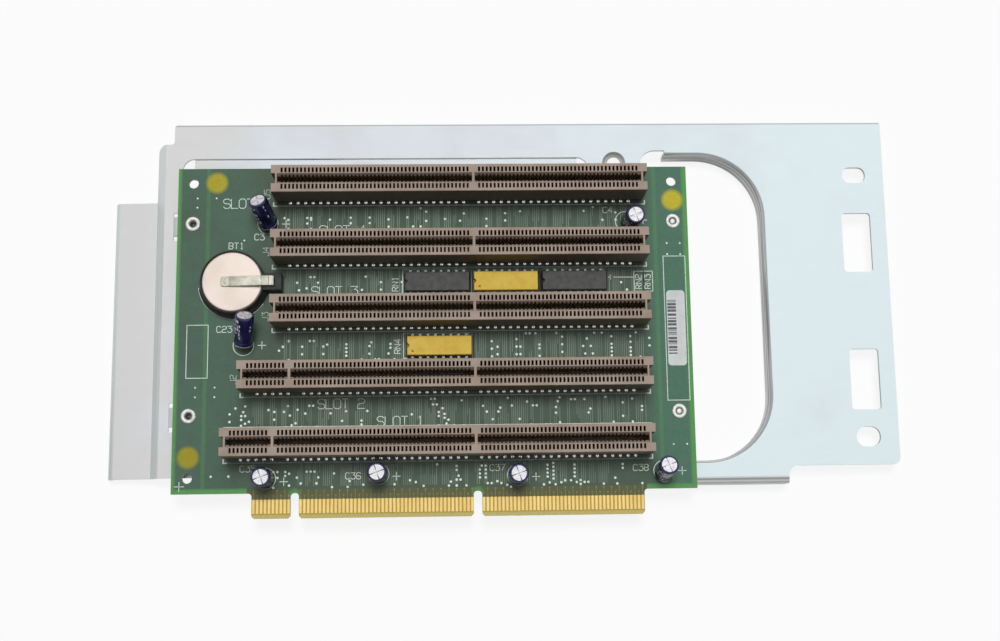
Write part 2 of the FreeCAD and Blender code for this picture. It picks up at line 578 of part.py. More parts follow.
def make_bracket():
    body = new_body("bracket")
    window_left = "(board_left + window_left_inset)"
    window_top = "(%s + window_above)" % BOARD_TOP
    rail_top = "(%s + top_rail)" % window_top
    web_right = "(%s - web_inset)" % BOARD_RIGHT
    window_right = "(%s - web_width)" % web_right
    rim_left = "(%s - rim_start)" % BOARD_RIGHT
    rim_right = "(%s + rim_past)" % BOARD_RIGHT
    rim_top = "(%s + rim_above)" % window_top
    fold_low = "(board_bottom + low_edge_below)"
    window_low = "(%s + low_rail)" % fold_low
    plate_right = "(%s + plate_past)" % rim_right
    plate_low = "(%s + plate_low_step)" % fold_low
    fold_left = "(board_left + low_fold_start)"
    fold_right = "(%s + low_fold_past)" % BOARD_RIGHT
    left_low = "(%s + low_step)" % fold_low
    step = "(board_left - wing_start)"
    shoulder = "(%s + wing_shoulder)" % BOARD_TOP
    rail_left = "(board_left - rail_left)"

    plate = new_sketch(body, "plate", offset=PLATE_BACK)
    outline(plate, [(rail_left, rail_top, "rail_round"), (rail_left, shoulder, "shoulder_round"),
                    (step, shoulder), (step, left_low), (fold_left, left_low, "low_step_round"),
                    (fold_left, fold_low), (fold_right, fold_low),
                    (fold_right, plate_low, "step_round"), (plate_right, plate_low, "plate_round"),
                    (plate_right, rail_top, "rail_round")])
    pad(body, plate, "sheet_thickness")

    # Block behind the plate that the cable opening turns into a rim flange
    rim = new_sketch(body, "rim")
    rim_outer_right = rim_right + " + sheet_thickness"
    rim_outer_low = window_low + " - sheet_thickness"
    rim_outer_top = rim_top + " + sheet_thickness"
    outline(rim, [(rim_left, rim_outer_low), (rim_outer_right, rim_outer_low, "rim_round + sheet_thickness"),
                  (rim_outer_right, rim_outer_top, "rim_round + sheet_thickness"), (rim_left, rim_outer_top)])
    pad(body, rim, PLATE_BACK)
    opening = new_sketch(body, "opening")
    relief_low, relief_top = window_low + " - rim_relief", rim_top + " + rim_relief"
    outline(opening, [(web_right, relief_low, "rim_relief_round"), (rim_left, relief_low),
                      (rim_left, window_low), (rim_right, window_low, "rim_round"),
                      (rim_right, rim_top, "rim_round"), (rim_left, rim_top),
                      (rim_left, relief_top), (web_right, relief_top, "rim_relief_round")])
    pocket(body, opening)

    # Window behind the board, with bend reliefs beside the left tabs
    window = new_sketch(body, "window")
    rectangle(window, window_left, window_low, window_right, window_top, "window_round")
    pocket(body, window)
    reliefs = new_sketch(body, "reliefs")
    for x, y in EYELETS[:2]:
        for side in ("+", "-"):
            edge = "(%s %s (tab_width + relief_width) / 2)" % (y, side)
            rectangle(reliefs, window_left + " - relief_depth", edge + " - relief_width / 2",
                      window_left + " + relief_width", edge + " + relief_width / 2")
    pocket(body, reliefs)

    # Folded lower edge
    fold = new_sketch(body, "fold")
    rectangle(fold, fold_left, fold_low, fold_right, fold_low + " + sheet_thickness")
    pad(body, fold, PLATE_BACK)

    # Bends at the front of the rim and of the lower edge
    bends = edges_in_box(body.Shape, (rim_left, window_low, "plate_height"),
                         (rim_right, rim_top, "plate_height"))
    bends += edges_in_box(body.Shape, (fold_left, fold_low, "plate_height"),
                          (fold_right, fold_low, "plate_height"))
    round_edges(body, bends, "bend_radius")

    # Lip of the window, stepped behind the plate
    lip = new_sketch(body, "lip", "YZ_Plane", window_left + " + window_round")
    lip_front = "(plate_height - shelf_drop)"
    lip_back = "(plate_height - shelf_drop - sheet_thickness)"
    lip_low = window_top + " - shelf_depth"
    outline(lip, [(window_top + " + sheet_thickness", "plate_height"), (window_top, "plate_height"),
                  (window_top + " - shelf_slope", lip_front), (lip_low, lip_front), (lip_low, lip_back),
                  (window_top, lip_back), (window_top + " + shelf_slope", PLATE_BACK),
                  (window_top + " + sheet_thickness", PLATE_BACK)])
    pad(body, lip, "%s - shelf_right - %s - window_round" % (window_right, window_left))

    # Raised tabs that carry the board, stepped up from the left strip and from the web
    tab_top = "board_back"
    tab_under = "(board_back - sheet_thickness)"
    left_start = "(%s - relief_depth)" % window_left
    for number, (x, y) in enumerate(EYELETS):
        start = left_start if number < 2 else web_right
        end = x + " + tab_past_eyelet"
        tab = new_sketch(body, "tab%d" % number, "XZ_Plane", "0 - %s" % y)
        outline(tab, [(start + " - tab_root", PLATE_BACK), (start + " + " + MITRE, PLATE_BACK),
                      (start + " + board_gap + " + MITRE, tab_under), (end, tab_under), (end, tab_top),
                      (start + " + board_gap", tab_top), (start, "plate_height"),
                      (start + " - tab_root", "plate_height")])
        pad(body, tab, "tab_width", symmetric=True)
    eyelet_holes = new_sketch(body, "eyelet_holes")
    for x, y in EYELETS:
        circle(eyelet_holes, x, y, EYELET_HOLE)
    pocket(body, eyelet_holes)

    # Step down to the left wing, the wing itself and its lip
    step_down = new_sketch(body, "step_down", "XZ_Plane", "0 - %s" % left_low)
    ramp_end = "(%s - wing_drop)" % step
    wing_front = "(plate_height - wing_drop)"
    wing_back = "(%s - sheet_thickness)" % wing_front
    outline(step_down, [(step + " + sheet_thickness", "plate_height"), (step, "plate_height"),
                        (ramp_end, wing_front), (ramp_end, wing_back), (ramp_end + " + " + MITRE, wing_back),
                        (step + " + " + MITRE, PLATE_BACK), (step + " + sheet_thickness", PLATE_BACK)])
    pad(body, step_down, "%s - %s" % (shoulder, left_low), reverse=True)
    corner = new_sketch(body, "step_corner")
    past_left, past_top = ramp_end + " - sheet_thickness", shoulder + " + sheet_thickness"
    corner_low, corner_right = shoulder + " - 2 * step_corner", ramp_end + " + 1.5 * step_corner"
    outline(corner, [(past_left, past_top), (past_left, corner_low), (ramp_end, corner_low),
                     (ramp_end, shoulder, "step_corner"), (corner_right, shoulder), (corner_right, past_top)])
    pocket(body, corner)
    wing = new_sketch(body, "wing", "XZ_Plane", "0 - %s" % left_low)
    wing_left = "(%s - wing_width)" % step
    wing_edge = "(%s - wing_fall)" % wing_front
    outline(wing, [(ramp_end + " + " + MITRE, wing_front), (wing_left, wing_edge), (wing_left, "0"),
                   (wing_left + " + sheet_thickness", "0"),
                   (wing_left + " + sheet_thickness", wing_edge + " - sheet_thickness"),
                   (ramp_end + " + " + MITRE, wing_back)])
    pad(body, wing, "%s - wing_top - %s" % (BOARD_TOP, left_low), reverse=True)
    lip_edges = edges_in_box(body.Shape, (wing_left, left_low, wing_edge), (wing_left, BOARD_TOP, wing_edge))
    round_edges(body, lip_edges, "wing_lip_radius")

    # Countersunk hole in the web
    screw_x, screw_y = "(%s + screw_web)" % window_right, "(%s - screw_below)" % window_top
    mouth, bore = screw_x + " + screw_head / 2", screw_x + " + screw_hole / 2"
    above, below = "plate_height + sheet_thickness", PLATE_BACK + " - sheet_thickness"
    countersink = new_sketch(body, "countersink", "XZ_Plane", "0 - %s" % screw_y)
    outline(countersink, [(screw_x, above), (mouth, above), (mouth, "plate_height"), (bore, PLATE_BACK),
                          (bore, below), (screw_x, below)])
    spin_about(body, countersink, screw_x, "PartDesign::Groove")

    # Holes at the right end of the plate
    holes_x = "(%s - slot_holes_inset)" % plate_right
    squares = new_sketch(body, "squares")
    for below in ("upper_window_below", "lower_window_below"):
        middle = "(%s - %s)" % (rail_top, below)
        rectangle(squares, holes_x + " - square_window_width / 2", middle + " - square_window_height / 2",
                  holes_x + " + square_window_width / 2", middle + " + square_window_height / 2",
                  "square_window_round")
    pocket(body, squares)
    ovals = new_sketch(body, "ovals")
    for y, name in (("(%s - upper_oval_below)" % rail_top, "upper_oval"),
                    ("(%s + lower_oval_above)" % plate_low, "lower_oval")):
        half_length, half_width = "%s_length / 2" % name, "%s_width / 2" % name
        rectangle(ovals, "%s - %s" % (holes_x, half_length), "%s - %s" % (y, half_width),
                  "%s + %s" % (holes_x, half_length), "%s + %s" % (y, half_width),
                  "(%s_width - oval_flat) / 2" % name)
    pocket(body, ovals)


def make_battery():
    x = "(%s - cell_left)" % SHORT_END
    y = "((%s + %s) / 2 - cell_low)" % (slot_middle(3), slot_middle(4))
    contact_top = "(holder_floor + base_contact_thickness)"
    cell_top = "(%s + cell_height)" % contact_top
    bowl = "(cell_diameter / 2 + cell_clearance)"
    rim = "(%s + holder_rim)" % cell_top

    cell = new_body("coin_cell")
    section = new_sketch(cell, "section", "XZ_Plane")
    edge = "cell_diameter / 2"
    outline(section, [("0", contact_top), (edge, contact_top), (edge, cell_top + " - cell_round"),
                      (edge + " - cell_round", cell_top), ("0", cell_top)])
    revolve(cell, section)
    place(cell, x, y, "board_front")

    holder = new_body("battery_holder")
    cup = new_sketch(holder, "cup", "XZ_Plane")
    wall = "(%s + holder_wall)" % bowl
    outline(cup, [("0", "0"), (wall + " + holder_base", "0"), (wall + " + holder_base", "holder_base_height"),
                  (wall, "holder_base_height + holder_base"), (wall, rim), (bowl, rim),
                  (bowl, "holder_floor"), ("0", "holder_floor")])
    revolve(holder, cup)
    # Block beside the cup that holds the leg of the clip
    block = new_sketch(holder, "block")
    half = "holder_block_width / 2"
    rectangle(block, bowl + " + holder_wall / 2", "0 - " + half, "holder_block_length", half)
    pad(holder, block, rim)
    socket = new_sketch(holder, "socket", offset=rim)
    rectangle(socket, "clip_leg - clip_thickness - clip_clearance", "0 - clip_width / 2 - clip_clearance",
              "clip_leg + clip_clearance", "clip_width / 2 + clip_clearance")
    pocket(holder, socket, "clip_socket")
    place(holder, x, y, "board_front")

    strip = new_body("battery_base_contact")
    flat = new_sketch(strip, "flat", offset="holder_floor")
    rectangle(flat, "0 - base_contact_length / 2", "0 - base_contact_width / 2", "base_contact_length / 2",
              "base_contact_width / 2")
    pad(strip, flat, "base_contact_thickness")
    place(strip, x, y, "board_front")

    # Spring clip: leg in the block, flat run over the rim, then down to the cell and up at the toe
    clip = new_body("battery_clip")
    profile = new_sketch(clip, "profile", "XZ_Plane")
    over = "(%s + clip_rise)" % cell_top
    outline(profile, [("clip_leg", "%s - clip_socket" % rim), ("clip_leg", over + " + clip_thickness"),
                      ("clip_flat", over + " + clip_thickness"),
                      ("0 - clip_touch", cell_top + " + clip_thickness"),
                      ("0 - clip_toe", cell_top + " + clip_toe_rise + clip_thickness"),
                      ("0 - clip_toe", cell_top + " + clip_toe_rise"), ("0 - clip_touch", cell_top),
                      ("clip_flat", over), ("clip_leg - clip_thickness", over),
                      ("clip_leg - clip_thickness", "%s - clip_socket" % rim)])
    pad(clip, profile, "clip_width", symmetric=True)
    place(clip, x, y, "board_front")


def make_capacitor(number, slot_above, line):
    label = "capacitor_%d" % number
    x = "(%s - %s_left)" % ({"housing end": SHORT_END, "first contact": CONTACT_ZERO}[line], label)
    y = "(%s - %s_below)" % (slot_middle(slot_above), label)
    outer = "(can_diameter / 2 + sleeve_thickness)"
    lift = "(cap_standoff + %s * sin(%s_lean * 1 deg))" % (outer, label)
    lean, heading = size(label + "_lean"), math.radians(size(label + "_heading"))
    hinge = FreeCAD.Vector(-math.sin(heading), math.cos(heading), 0)
    tilt = FreeCAD.Rotation(hinge, lean)

    # Sealed can in its sleeve
    can = new_body(label + "_can")
    section = new_sketch(can, "section", "XZ_Plane")
    outline(section, [("0", "0"), (outer, "0"), (outer, "can_height"), ("0", "can_height")])
    revolve(can, section)
    place(can, x, y, "board_front + " + lift)
    can.Placement = FreeCAD.Placement(can.Placement.Base, tilt)

    # Two leads along the tilted axis, trimmed by the face of the board
    base = FreeCAD.Vector(size(x), size(y), size("board_front + " + lift))
    along = tilt.multVec(FreeCAD.Vector(0, 0, -1))
    side_way = tilt.multVec(FreeCAD.Vector(math.cos(heading), math.sin(heading), 0))
    reach = size(lift) / math.cos(math.radians(lean)) + size("wire_reach")
    room = size("can_height")
    corner = FreeCAD.Vector(base.x - room / 2, base.y - room / 2, size("board_front"))
    above_board = Part.makeBox(room, room, room, corner)
    wires = []
    for side in (-1, 1):
        middle = base + hinge * (side * size("wire_spacing") / 2)
        angles = [2 * math.pi * turn / WIRE_SIDES for turn in range(WIRE_SIDES + 1)]
        rim = [middle + (hinge * math.cos(angle) + side_way * math.sin(angle)) * size("wire_diameter / 2")
               for angle in angles]
        wires.append(Part.Face(Part.makePolygon(rim)).extrude(along * reach).common(above_board))
    leads = doc.addObject("Part::Feature", label + "_leads")
    leads.Label = label + "_leads"
    leads.Shape = Part.makeCompound(wires)
    nodes.append(leads)


def beside(y, side, distance):
    # Distance from a pack's middle line to one side
    return "%s + %d * (%s)" % (y, side, distance)


def make_pack(label, x, y):
    # Moulded body with a parting line at the leads and a notch at its left end
    body = new_body(label + "_body")
    half_width, half_length = "pack_width / 2", "pack_length / 2"
    low = "(board_front + pack_standoff)"
    parting = "(%s + pack_height / 2)" % low
    high = "(%s + pack_height)" % low
    section = new_sketch(body, "section", "YZ_Plane", x + " - " + half_length)
    narrow = "(pack_width / 2 - pack_taper)"
    outline(section, [("%s - %s" % (y, narrow), low), ("%s + %s" % (y, narrow), low),
                      ("%s + %s" % (y, half_width), parting), ("%s + %s" % (y, narrow), high),
                      ("%s - %s" % (y, narrow), high), ("%s - %s" % (y, half_width), parting)])
    pad(body, section, "pack_length")
    notch = new_sketch(body, "notch", offset=high)
    end = x + " - " + half_length
    rectangle(notch, end, y + " - pack_notch / 2", end + " + pack_notch / 2", y + " + pack_notch / 2")
    pocket(body, notch, "pack_notch_depth")

    leads = new_body(label + "_leads")
    first = "(%s - lead_spacing * %.1f)" % (x, (LEADS_PER_SIDE - 1) / 2)
    middle = "(%s - lead_thickness / 2)" % parting
    for side, name in ((1, "far"), (-1, "near")):
        flank = beside(y, side, half_width)
        inner = beside(y, side, "lead_row / 2")
        outer = beside(y, side, "lead_row / 2 + lead_thickness")
        top = middle + " + lead_thickness"
        row = new_sketch(leads, name, "YZ_Plane", first)
        outline(row, [(flank, middle), (inner, middle), (inner, "board_front"), (outer, "board_front"),
                      (outer, top), (flank, top)])
        bent = pad(leads, row, "lead_width", symmetric=True)
        row_of(leads, bent, row, "N_Axis", "lead_spacing", LEADS_PER_SIDE)


def make_label():
    body = new_body("label")
    x, y = "(%s - label_right)" % BOARD_RIGHT, "(board_bottom + label_above)"
    sketch = new_sketch(body, "outline", offset="board_front")
    left, right = x + " - label_width / 2", x + " + label_width / 2"
    low, high = y + " - label_length / 2", y + " + label_length / 2"
    inner_left, inner_right = left + " + label_cut", right + " - label_cut"
    inner_low, inner_high = low + " + label_cut", high + " - label_cut"
    outline(sketch, [(inner_left, low), (inner_right, low), (right, inner_low), (right, inner_high),
                     (inner_right, high), (inner_left, high), (left, inner_high), (left, inner_low)])
    pad(body, sketch, "label_thickness")


make_bracket()
make_board()
make_edge_contacts("edge_contacts_front", "board_front")
make_edge_contacts("edge_contacts_back", "board_back - finger_thickness")
for slot_number in SLOT_RUNS:
    make_slot(slot_number)
make_eyelets()
make_battery()
for capacitor_number, spot in enumerate(CAPACITOR_SPOTS, start=1):
    make_capacitor(capacitor_number, spot[0], spot[1])
upper_row = "((%s + %s) / 2 - pack_low)" % (slot_middle(3), slot_middle(4))
lower_row = "((%s + %s) / 2 - pack_low)" % (slot_middle(2), slot_middle(3))
for pack_number, places_left in ((1, 2), (2, 1), (3, 0)):
    pack_x = "(%s - pack_right - %d * pack_spacing)" % (CONTACT_ZERO, places_left)
    make_pack("resistor_pack_%d" % pack_number, pack_x, upper_row)
low_pack_x = "(%s - pack_right - 2 * pack_spacing + low_pack_shift)" % CONTACT_ZERO
make_pack("resistor_pack_4", low_pack_x, lower_row)
make_label()

doc.recompute()
for item in doc.Objects:
    if "Invalid" in item.State or "Error" in item.State:
        raise RuntimeError("%s: %s" % (item.Name, item.State))
for node in nodes:
    if node.Shape.isNull() or not node.Shape.isValid():
        raise RuntimeError(node.Label + " has no valid shape")
os.makedirs("parts", exist_ok=True)
for node in nodes:
    node.Shape.exportStep(os.path.join("parts", node.Label + ".step"))
print("%d nodes written" % len(nodes))
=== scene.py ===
import math
import random

import bpy
import bmesh
from mathutils import Matrix, Vector


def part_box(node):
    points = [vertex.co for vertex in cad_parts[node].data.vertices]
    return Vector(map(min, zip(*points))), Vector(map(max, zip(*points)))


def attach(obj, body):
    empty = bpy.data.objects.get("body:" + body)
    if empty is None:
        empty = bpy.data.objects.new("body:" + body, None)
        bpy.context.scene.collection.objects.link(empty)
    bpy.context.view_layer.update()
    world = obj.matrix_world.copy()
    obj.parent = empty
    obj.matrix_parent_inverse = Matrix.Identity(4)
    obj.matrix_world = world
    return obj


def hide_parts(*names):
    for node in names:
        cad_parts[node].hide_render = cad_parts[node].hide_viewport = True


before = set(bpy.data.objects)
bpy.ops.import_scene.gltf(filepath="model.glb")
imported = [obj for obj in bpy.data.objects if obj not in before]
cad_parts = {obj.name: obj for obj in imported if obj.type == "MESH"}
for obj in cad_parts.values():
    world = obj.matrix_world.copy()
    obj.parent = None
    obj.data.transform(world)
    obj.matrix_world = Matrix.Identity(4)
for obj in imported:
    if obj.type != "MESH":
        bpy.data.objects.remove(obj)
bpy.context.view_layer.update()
mm = 0.001
boardRear, boardFace = [corner.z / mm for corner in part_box("circuit_board")]  # the face carries the components
contactPitch = 1.27
slotPitch = 21.55
slotEndReach = 3.5  # from the last contact to the end of a slot
slotLow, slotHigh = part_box("slot_1")
zeroX = slotHigh.x / mm - slotEndReach  # first contact of slot 1, where places on the board start
zeroY = (slotLow.y + slotHigh.y) / 2 / mm
print("frame loaded, board face at %.2f mm" % boardFace)


# piles of faces, in millimetres

def nodeBox(node):
    return [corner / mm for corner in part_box(node)]


def onBoard(x, y):
    return zeroX + x, zeroY + y


def newPile():
    return {"points": [], "faces": []}


def addFace(pile, corners):
    start = len(pile["points"])
    pile["points"] += [tuple(corner) for corner in corners]
    pile["faces"].append(list(range(start, start + len(corners))))


def joinRings(pile, rings):
    for lower, upper in zip(rings, rings[1:]):
        for index in range(len(lower)):
            after = (index + 1) % len(lower)
            addFace(pile, [lower[index], lower[after], upper[after], upper[index]])


def addLoft(pile, rings):  # rings joined in turn and closed at both ends
    joinRings(pile, rings)
    addFace(pile, rings[0][::-1])
    addFace(pile, rings[-1])


def addPrism(pile, outline, low, high, place=Matrix.Identity(4)):
    addLoft(pile, [[place @ Vector((x, y, z)) for x, y in outline] for z in (low, high)])


def levelRing(left, right, front, rear, z):
    return [(left, front, z), (right, front, z), (right, rear, z), (left, rear, z)]


def addBlock(pile, low, high):
    addLoft(pile, [levelRing(low[0], high[0], low[1], high[1], z) for z in (low[2], high[2])])


def arcPoints(x, y, radius, start, stop, steps):  # turns in degrees
    turns = [math.radians(start + (stop - start) * step / steps) for step in range(steps + 1)]
    return [(x + radius * math.cos(turn), y + radius * math.sin(turn)) for turn in turns]


def turnedProfile(radius, tall, foot, shoulder):  # foot points from the base, shoulder points from the top
    points = [(radius + out, up) for out, up in foot] + [(radius + out, tall + up) for out, up in shoulder]
    return [(0, points[0][1])] + points + [(0, points[-1][1])]


def addTurned(pile, profile, sides, place=Matrix.Identity(4)):  # profile from the axis round to the axis
    rings = []
    for radius, height in profile:
        circle = arcPoints(0, 0, radius, 0, 360, sides)[:-1] if radius else [(0, 0)]
        rings.append([place @ Vector((x, y, height)) for x, y in circle])
    for lower, upper in zip(rings, rings[1:]):
        for side in range(sides):
            after = (side + 1) % sides
            if len(lower) == 1:
                addFace(pile, [lower[0], upper[after], upper[side]])
            elif len(upper) == 1:
                addFace(pile, [lower[side], lower[after], upper[0]])
            else:
                addFace(pile, [lower[side], lower[after], upper[after], upper[side]])


def addSwept(pile, section, start, stop, steps, place):  # section turned part of the way round
    rings = []
    for turn in [math.radians(start + (stop - start) * step / steps) for step in range(steps + 1)]:
        way = Vector((math.cos(turn), math.sin(turn), 0))
        rings.append([place @ (way * reach + Vector((0, 0, z))) for reach, z in section])
    addLoft(pile, rings)


def addRibbon(pile, path, width, low, high):  # flat line along a path, mitred at its corners
    closed = len(path) > 2 and path[0] == path[-1]
    points = [Vector(point) for point in (path[:-1] if closed else path)]
    count = len(points)
    sections = []
    for index, point in enumerate(points):
        normals = []
        for start in (index - 1, index):  # the stretch that ends here and the one that starts here
            if closed or 0 <= start < count - 1:
                way = (points[(start + 1) % count] - points[start]).normalized()
                normals.append(Vector((-way.y, way.x)))
        normal = sum(normals, Vector((0, 0))).normalized()
        reach = normal * (width / 2 / max(normal.dot(normals[0]), 0.5))  # mitres stop at twice the width
        a, b = point + reach, point - reach
        sections.append([(*a, low), (*b, low), (*b, high), (*a, high)])
    if closed:
        joinRings(pile, sections + sections[:1])
    else:
        addLoft(pile, sections)


def addDot(pile, x, y, radius, low, high, sides):
    profile = [(0, low), (radius, low), (radius, high), (0, high)]
    addTurned(pile, profile, sides, Matrix.Translation((x, y, 0)))


def pathNormals(line):  # to the left of a bent strip
    normals = []
    for index in range(len(line)):
        way = (line[min(index + 1, len(line) - 1)] - line[max(index - 1, 0)]).normalized()
        normals.append(Vector((-way.y, way.x)))
    return normals


def setPiece(name, pile, finish, replaced=(), smooth=None):
    mesh = bpy.data.meshes.new(name)
    mesh.from_pydata([Vector(point) * mm for point in pile["points"]], [], pile["faces"])
    work = bmesh.new()
    work.from_mesh(mesh)
    bmesh.ops.remove_doubles(work, verts=work.verts, dist=0.002 * mm)
    bmesh.ops.recalc_face_normals(work, faces=work.faces)
    work.to_mesh(mesh)
    work.free()
    if smooth:
        mesh.shade_smooth()
        mesh.set_sharp_from_angle(angle=math.radians(smooth))
    mesh.materials.append(finish)
    piece = bpy.data.objects.new(name, mesh)
    bpy.context.scene.collection.objects.link(piece)
    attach(piece, "root")
    if replaced:
        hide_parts(*replaced)


# finishes

def feedNode(tree, node, values):  # each value is a link, a number or a colour
    for name, value in values.items():
        socket = node.inputs[name]
        if isinstance(value, bpy.types.NodeSocket):
            tree.links.new(value, socket)
        else:
            socket.default_value = (*value, 1) if socket.type == "RGBA" else value


def newNode(tree, kind, values, **settings):
    node = tree.nodes.new(kind)
    for name, setting in settings.items():
        setattr(node, name, setting)
    feedNode(tree, node, values)
    return node.outputs


def startFinish(name):
    finish = bpy.data.materials.new(name)
    finish.use_nodes = True
    tree = finish.node_tree
    place = newNode(tree, "ShaderNodeTexCoord", {})["Object"]
    return finish, tree, tree.nodes["Principled BSDF"], place


def grainNode(tree, place, size, detail, stretch=(1, 1, 1)):  # size of the spots in millimetres
    stretched = newNode(tree, "ShaderNodeMapping", {"Vector": place, "Scale": stretch})["Vector"]
    spots = {"Vector": stretched, "Scale": 1 / (size * mm), "Detail": detail}
    return newNode(tree, "ShaderNodeTexNoise", spots)["Fac"]


def rampNode(tree, source, stops):
    ramp = tree.nodes.new("ShaderNodeValToRGB")
    while len(ramp.color_ramp.elements) < len(stops):
        ramp.color_ramp.elements.new(0.5)
    for element, (position, colour) in zip(ramp.color_ramp.elements, stops):
        element.position = position
        element.color = (*colour, 1)
    feedNode(tree, ramp, {"Fac": source})
    return ramp.outputs["Color"]


def spreadNode(tree, source, low, high, start=0.3, stop=0.7):
    ends = {"Value": source, "From Min": start, "From Max": stop, "To Min": low, "To Max": high}
    return newNode(tree, "ShaderNodeMapRange", ends)["Result"]


def sumNode(tree, kind, first, second):
    return newNode(tree, "ShaderNodeMath", {0: first, 1: second}, operation=kind)["Value"]


def mixNode(tree, share, first, second, kind="MIX"):
    colours = {0: share, 6: first, 7: second}
    return newNode(tree, "ShaderNodeMix", colours, data_type="RGBA", blend_type=kind)[2]


def bumpNode(tree, source, strength, depth):
    bumps = {"Height": source, "Strength": strength, "Distance": depth * mm}
    return newNode(tree, "ShaderNodeBump", bumps)["Normal"]


def splitNode(tree, source):
    return newNode(tree, "ShaderNodeSeparateXYZ", {0: source})


def levelNode(tree, place):  # 1 on level faces, 0 on upright ones
    return sumNode(tree, "ABSOLUTE", splitNode(tree, place.node.outputs["Normal"])["Z"], 0)


finishLook = {"stops": (0.35, 0.65), "level": (0.2, 0.8), "smear": 0.6, "depth": 0.02, "coatRough": 0.2}


def makeFinish(name, look):
    finish, tree, shader, place = startFinish(name)
    stretch = look.get("stretch", (1, 1, 1))
    first, last = finishLook["stops"]
    share = (last - first) / (len(look["tones"]) - 1)
    stops = [(first + share * index, tone) for index, tone in enumerate(look["tones"])]
    tone = rampNode(tree, grainNode(tree, place, look["spot"], 4, stretch), stops)
    # painted shade: when a look has a side tone, upright faces take that darker tone
    if "side" in look:  # tone of upright faces
        level = spreadNode(tree, levelNode(tree, place), 0, 1, *finishLook["level"])
        tone = mixNode(tree, level, look["side"], tone)
    smear = grainNode(tree, place, look["spot"] * finishLook["smear"], 3, stretch)
    bumps = grainNode(tree, place, look["bumpSpot"], 2, stretch)
    feedNode(tree, shader, {
        "Base Color": tone, "Roughness": spreadNode(tree, smear, *look["rough"]),
        "Normal": bumpNode(tree, bumps, look["bump"], finishLook["depth"]),
        "Metallic": look.get("metal", 0.0), "Specular IOR Level": look.get("gloss", 0.5),
        "Coat Weight": look.get("coat", 0.0), "Coat Roughness": finishLook["coatRough"],
    })
    return finish


def nodeFinish(node, finish):
    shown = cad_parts[node]
    shown.data.materials.clear()
    shown.data.materials.append(finish)


# bracket

bracketLook = {
    "warm": (0.69, 0.69, 0.68), "rose": (0.70, 0.72, 0.765), "cool": (0.755, 0.86, 0.885),
    "toneStops": (0.0, 0.2, 0.85), "drift": (-0.1, 1.0), "cloud": 30.0, "clouding": 0.25,
    # darker tones for streaks and for painted shade on bends, cut edges and upright faces; the step tone is
    # painted light on the wing's slopes
    "streakAndShade": (0.28, 0.29, 0.29), "side": (0.66, 0.67, 0.665), "step": (0.82, 0.87, 0.87),
    "streakSpot": 1.5, "streakStretch": (0.03, 0.03, 1.0), "streakStops": (0.4, 0.52),
    "bend": (0.82, 0.9), "flat": (0.91, 0.985), "wing": (-60, -100), "wingShare": 0.85,
    # fold and brim: painted shade along the lower fold and along the upper edge
    "fold": 2.5, "foldStops": (0.0, 0.4, 0.55, 0.72, 0.86), "foldEnd": 0.99,
    "brim": (0.55, 0.33), "brimShare": 0.6, "line": 0.5, "lineStretch": (0.04, 1.0, 1.0),
    "lineBump": 0.06, "lineDepth": 0.01, "rough": (0.36, 0.48), "metal": 0.35,
    "edge": 0.45, "edgeAngle": 50, "weld": 0.001,
}


def zincFinish():
    look = bracketLook
    finish, tree, shader, place = startFinish("zincPlate")
    low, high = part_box("bracket")
    split = splitNode(tree, place)
    alongX, alongY = split["X"], split["Y"]
    side, streakAndShade = look["side"], look["streakAndShade"]
    # the tone runs from darker and warmer at the left to bluer at the right, in clouds
    drift = spreadNode(tree, alongX, *look["drift"], low.x, high.x)
    cloud = spreadNode(tree, grainNode(tree, place, look["cloud"], 4), -look["clouding"], look["clouding"])
    tones = zip(look["toneStops"], (look["warm"], look["rose"], look["cool"]))
    tone = rampNode(tree, sumNode(tree, "ADD", drift, cloud), list(tones))
    # cut edges and bends take a duller tone with darker streaks, partly painted shade; a dark line of painted
    # shade where a bend starts; at the wing their tone is painted lighter, as painted light
    level = levelNode(tree, place)
    streaks = grainNode(tree, place, look["streakSpot"], 1, look["streakStretch"])
    cut = rampNode(tree, streaks, list(zip(look["streakStops"], (streakAndShade, side))))
    bend = mixNode(tree, spreadNode(tree, level, 0, 1, *look["bend"]), cut, streakAndShade)
    wing = spreadNode(tree, alongX, 0, look["wingShare"], *(x * mm for x in look["wing"]))
    bend = mixNode(tree, wing, bend, look["step"])
    tone = mixNode(tree, spreadNode(tree, level, 0, 1, *look["flat"]), bend, tone)
    # painted shade of the lower fold, right of the middle: a band of the side tone with a darker line in it
    turn = spreadNode(tree, alongY, 0, 1, low.y, low.y + look["fold"] * mm)
    line = rampNode(tree, turn, list(zip(look["foldStops"], (side, side, streakAndShade, streakAndShade, side))))
    onFold = sumNode(tree, "LESS_THAN", turn, look["foldEnd"])
    onRight = sumNode(tree, "GREATER_THAN", alongX, 0)
    tone = mixNode(tree, sumNode(tree, "MULTIPLY", onFold, onRight), tone, line)
    # painted shade of the rounded upper edge
    brim = spreadNode(tree, alongY, 0, look["brimShare"], *(high.y - reach * mm for reach in look["brim"]))
    drawn = grainNode(tree, place, look["line"], 2, look["lineStretch"])  # faint rolling lines along the sheet
    feedNode(tree, shader, {
        "Base Color": mixNode(tree, brim, tone, streakAndShade), "Roughness": spreadNode(tree, drawn, *look["rough"]),
        "Normal": bumpNode(tree, drawn, look["lineBump"], look["lineDepth"]), "Metallic": look["metal"],
    })
    return finish


nodeFinish("bracket", zincFinish())
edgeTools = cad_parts["bracket"].modifiers
edgeTools.new("joinedEdges", "WELD").merge_threshold = bracketLook["weld"] * mm
worn = edgeTools.new("wornEdges", "BEVEL")  # sheared edges, a little rounded
worn.width = bracketLook["edge"] * mm
worn.segments = 2
worn.limit_method = "ANGLE"
worn.angle_limit = math.radians(bracketLook["edgeAngle"])
print("bracket finished")


# circuit board

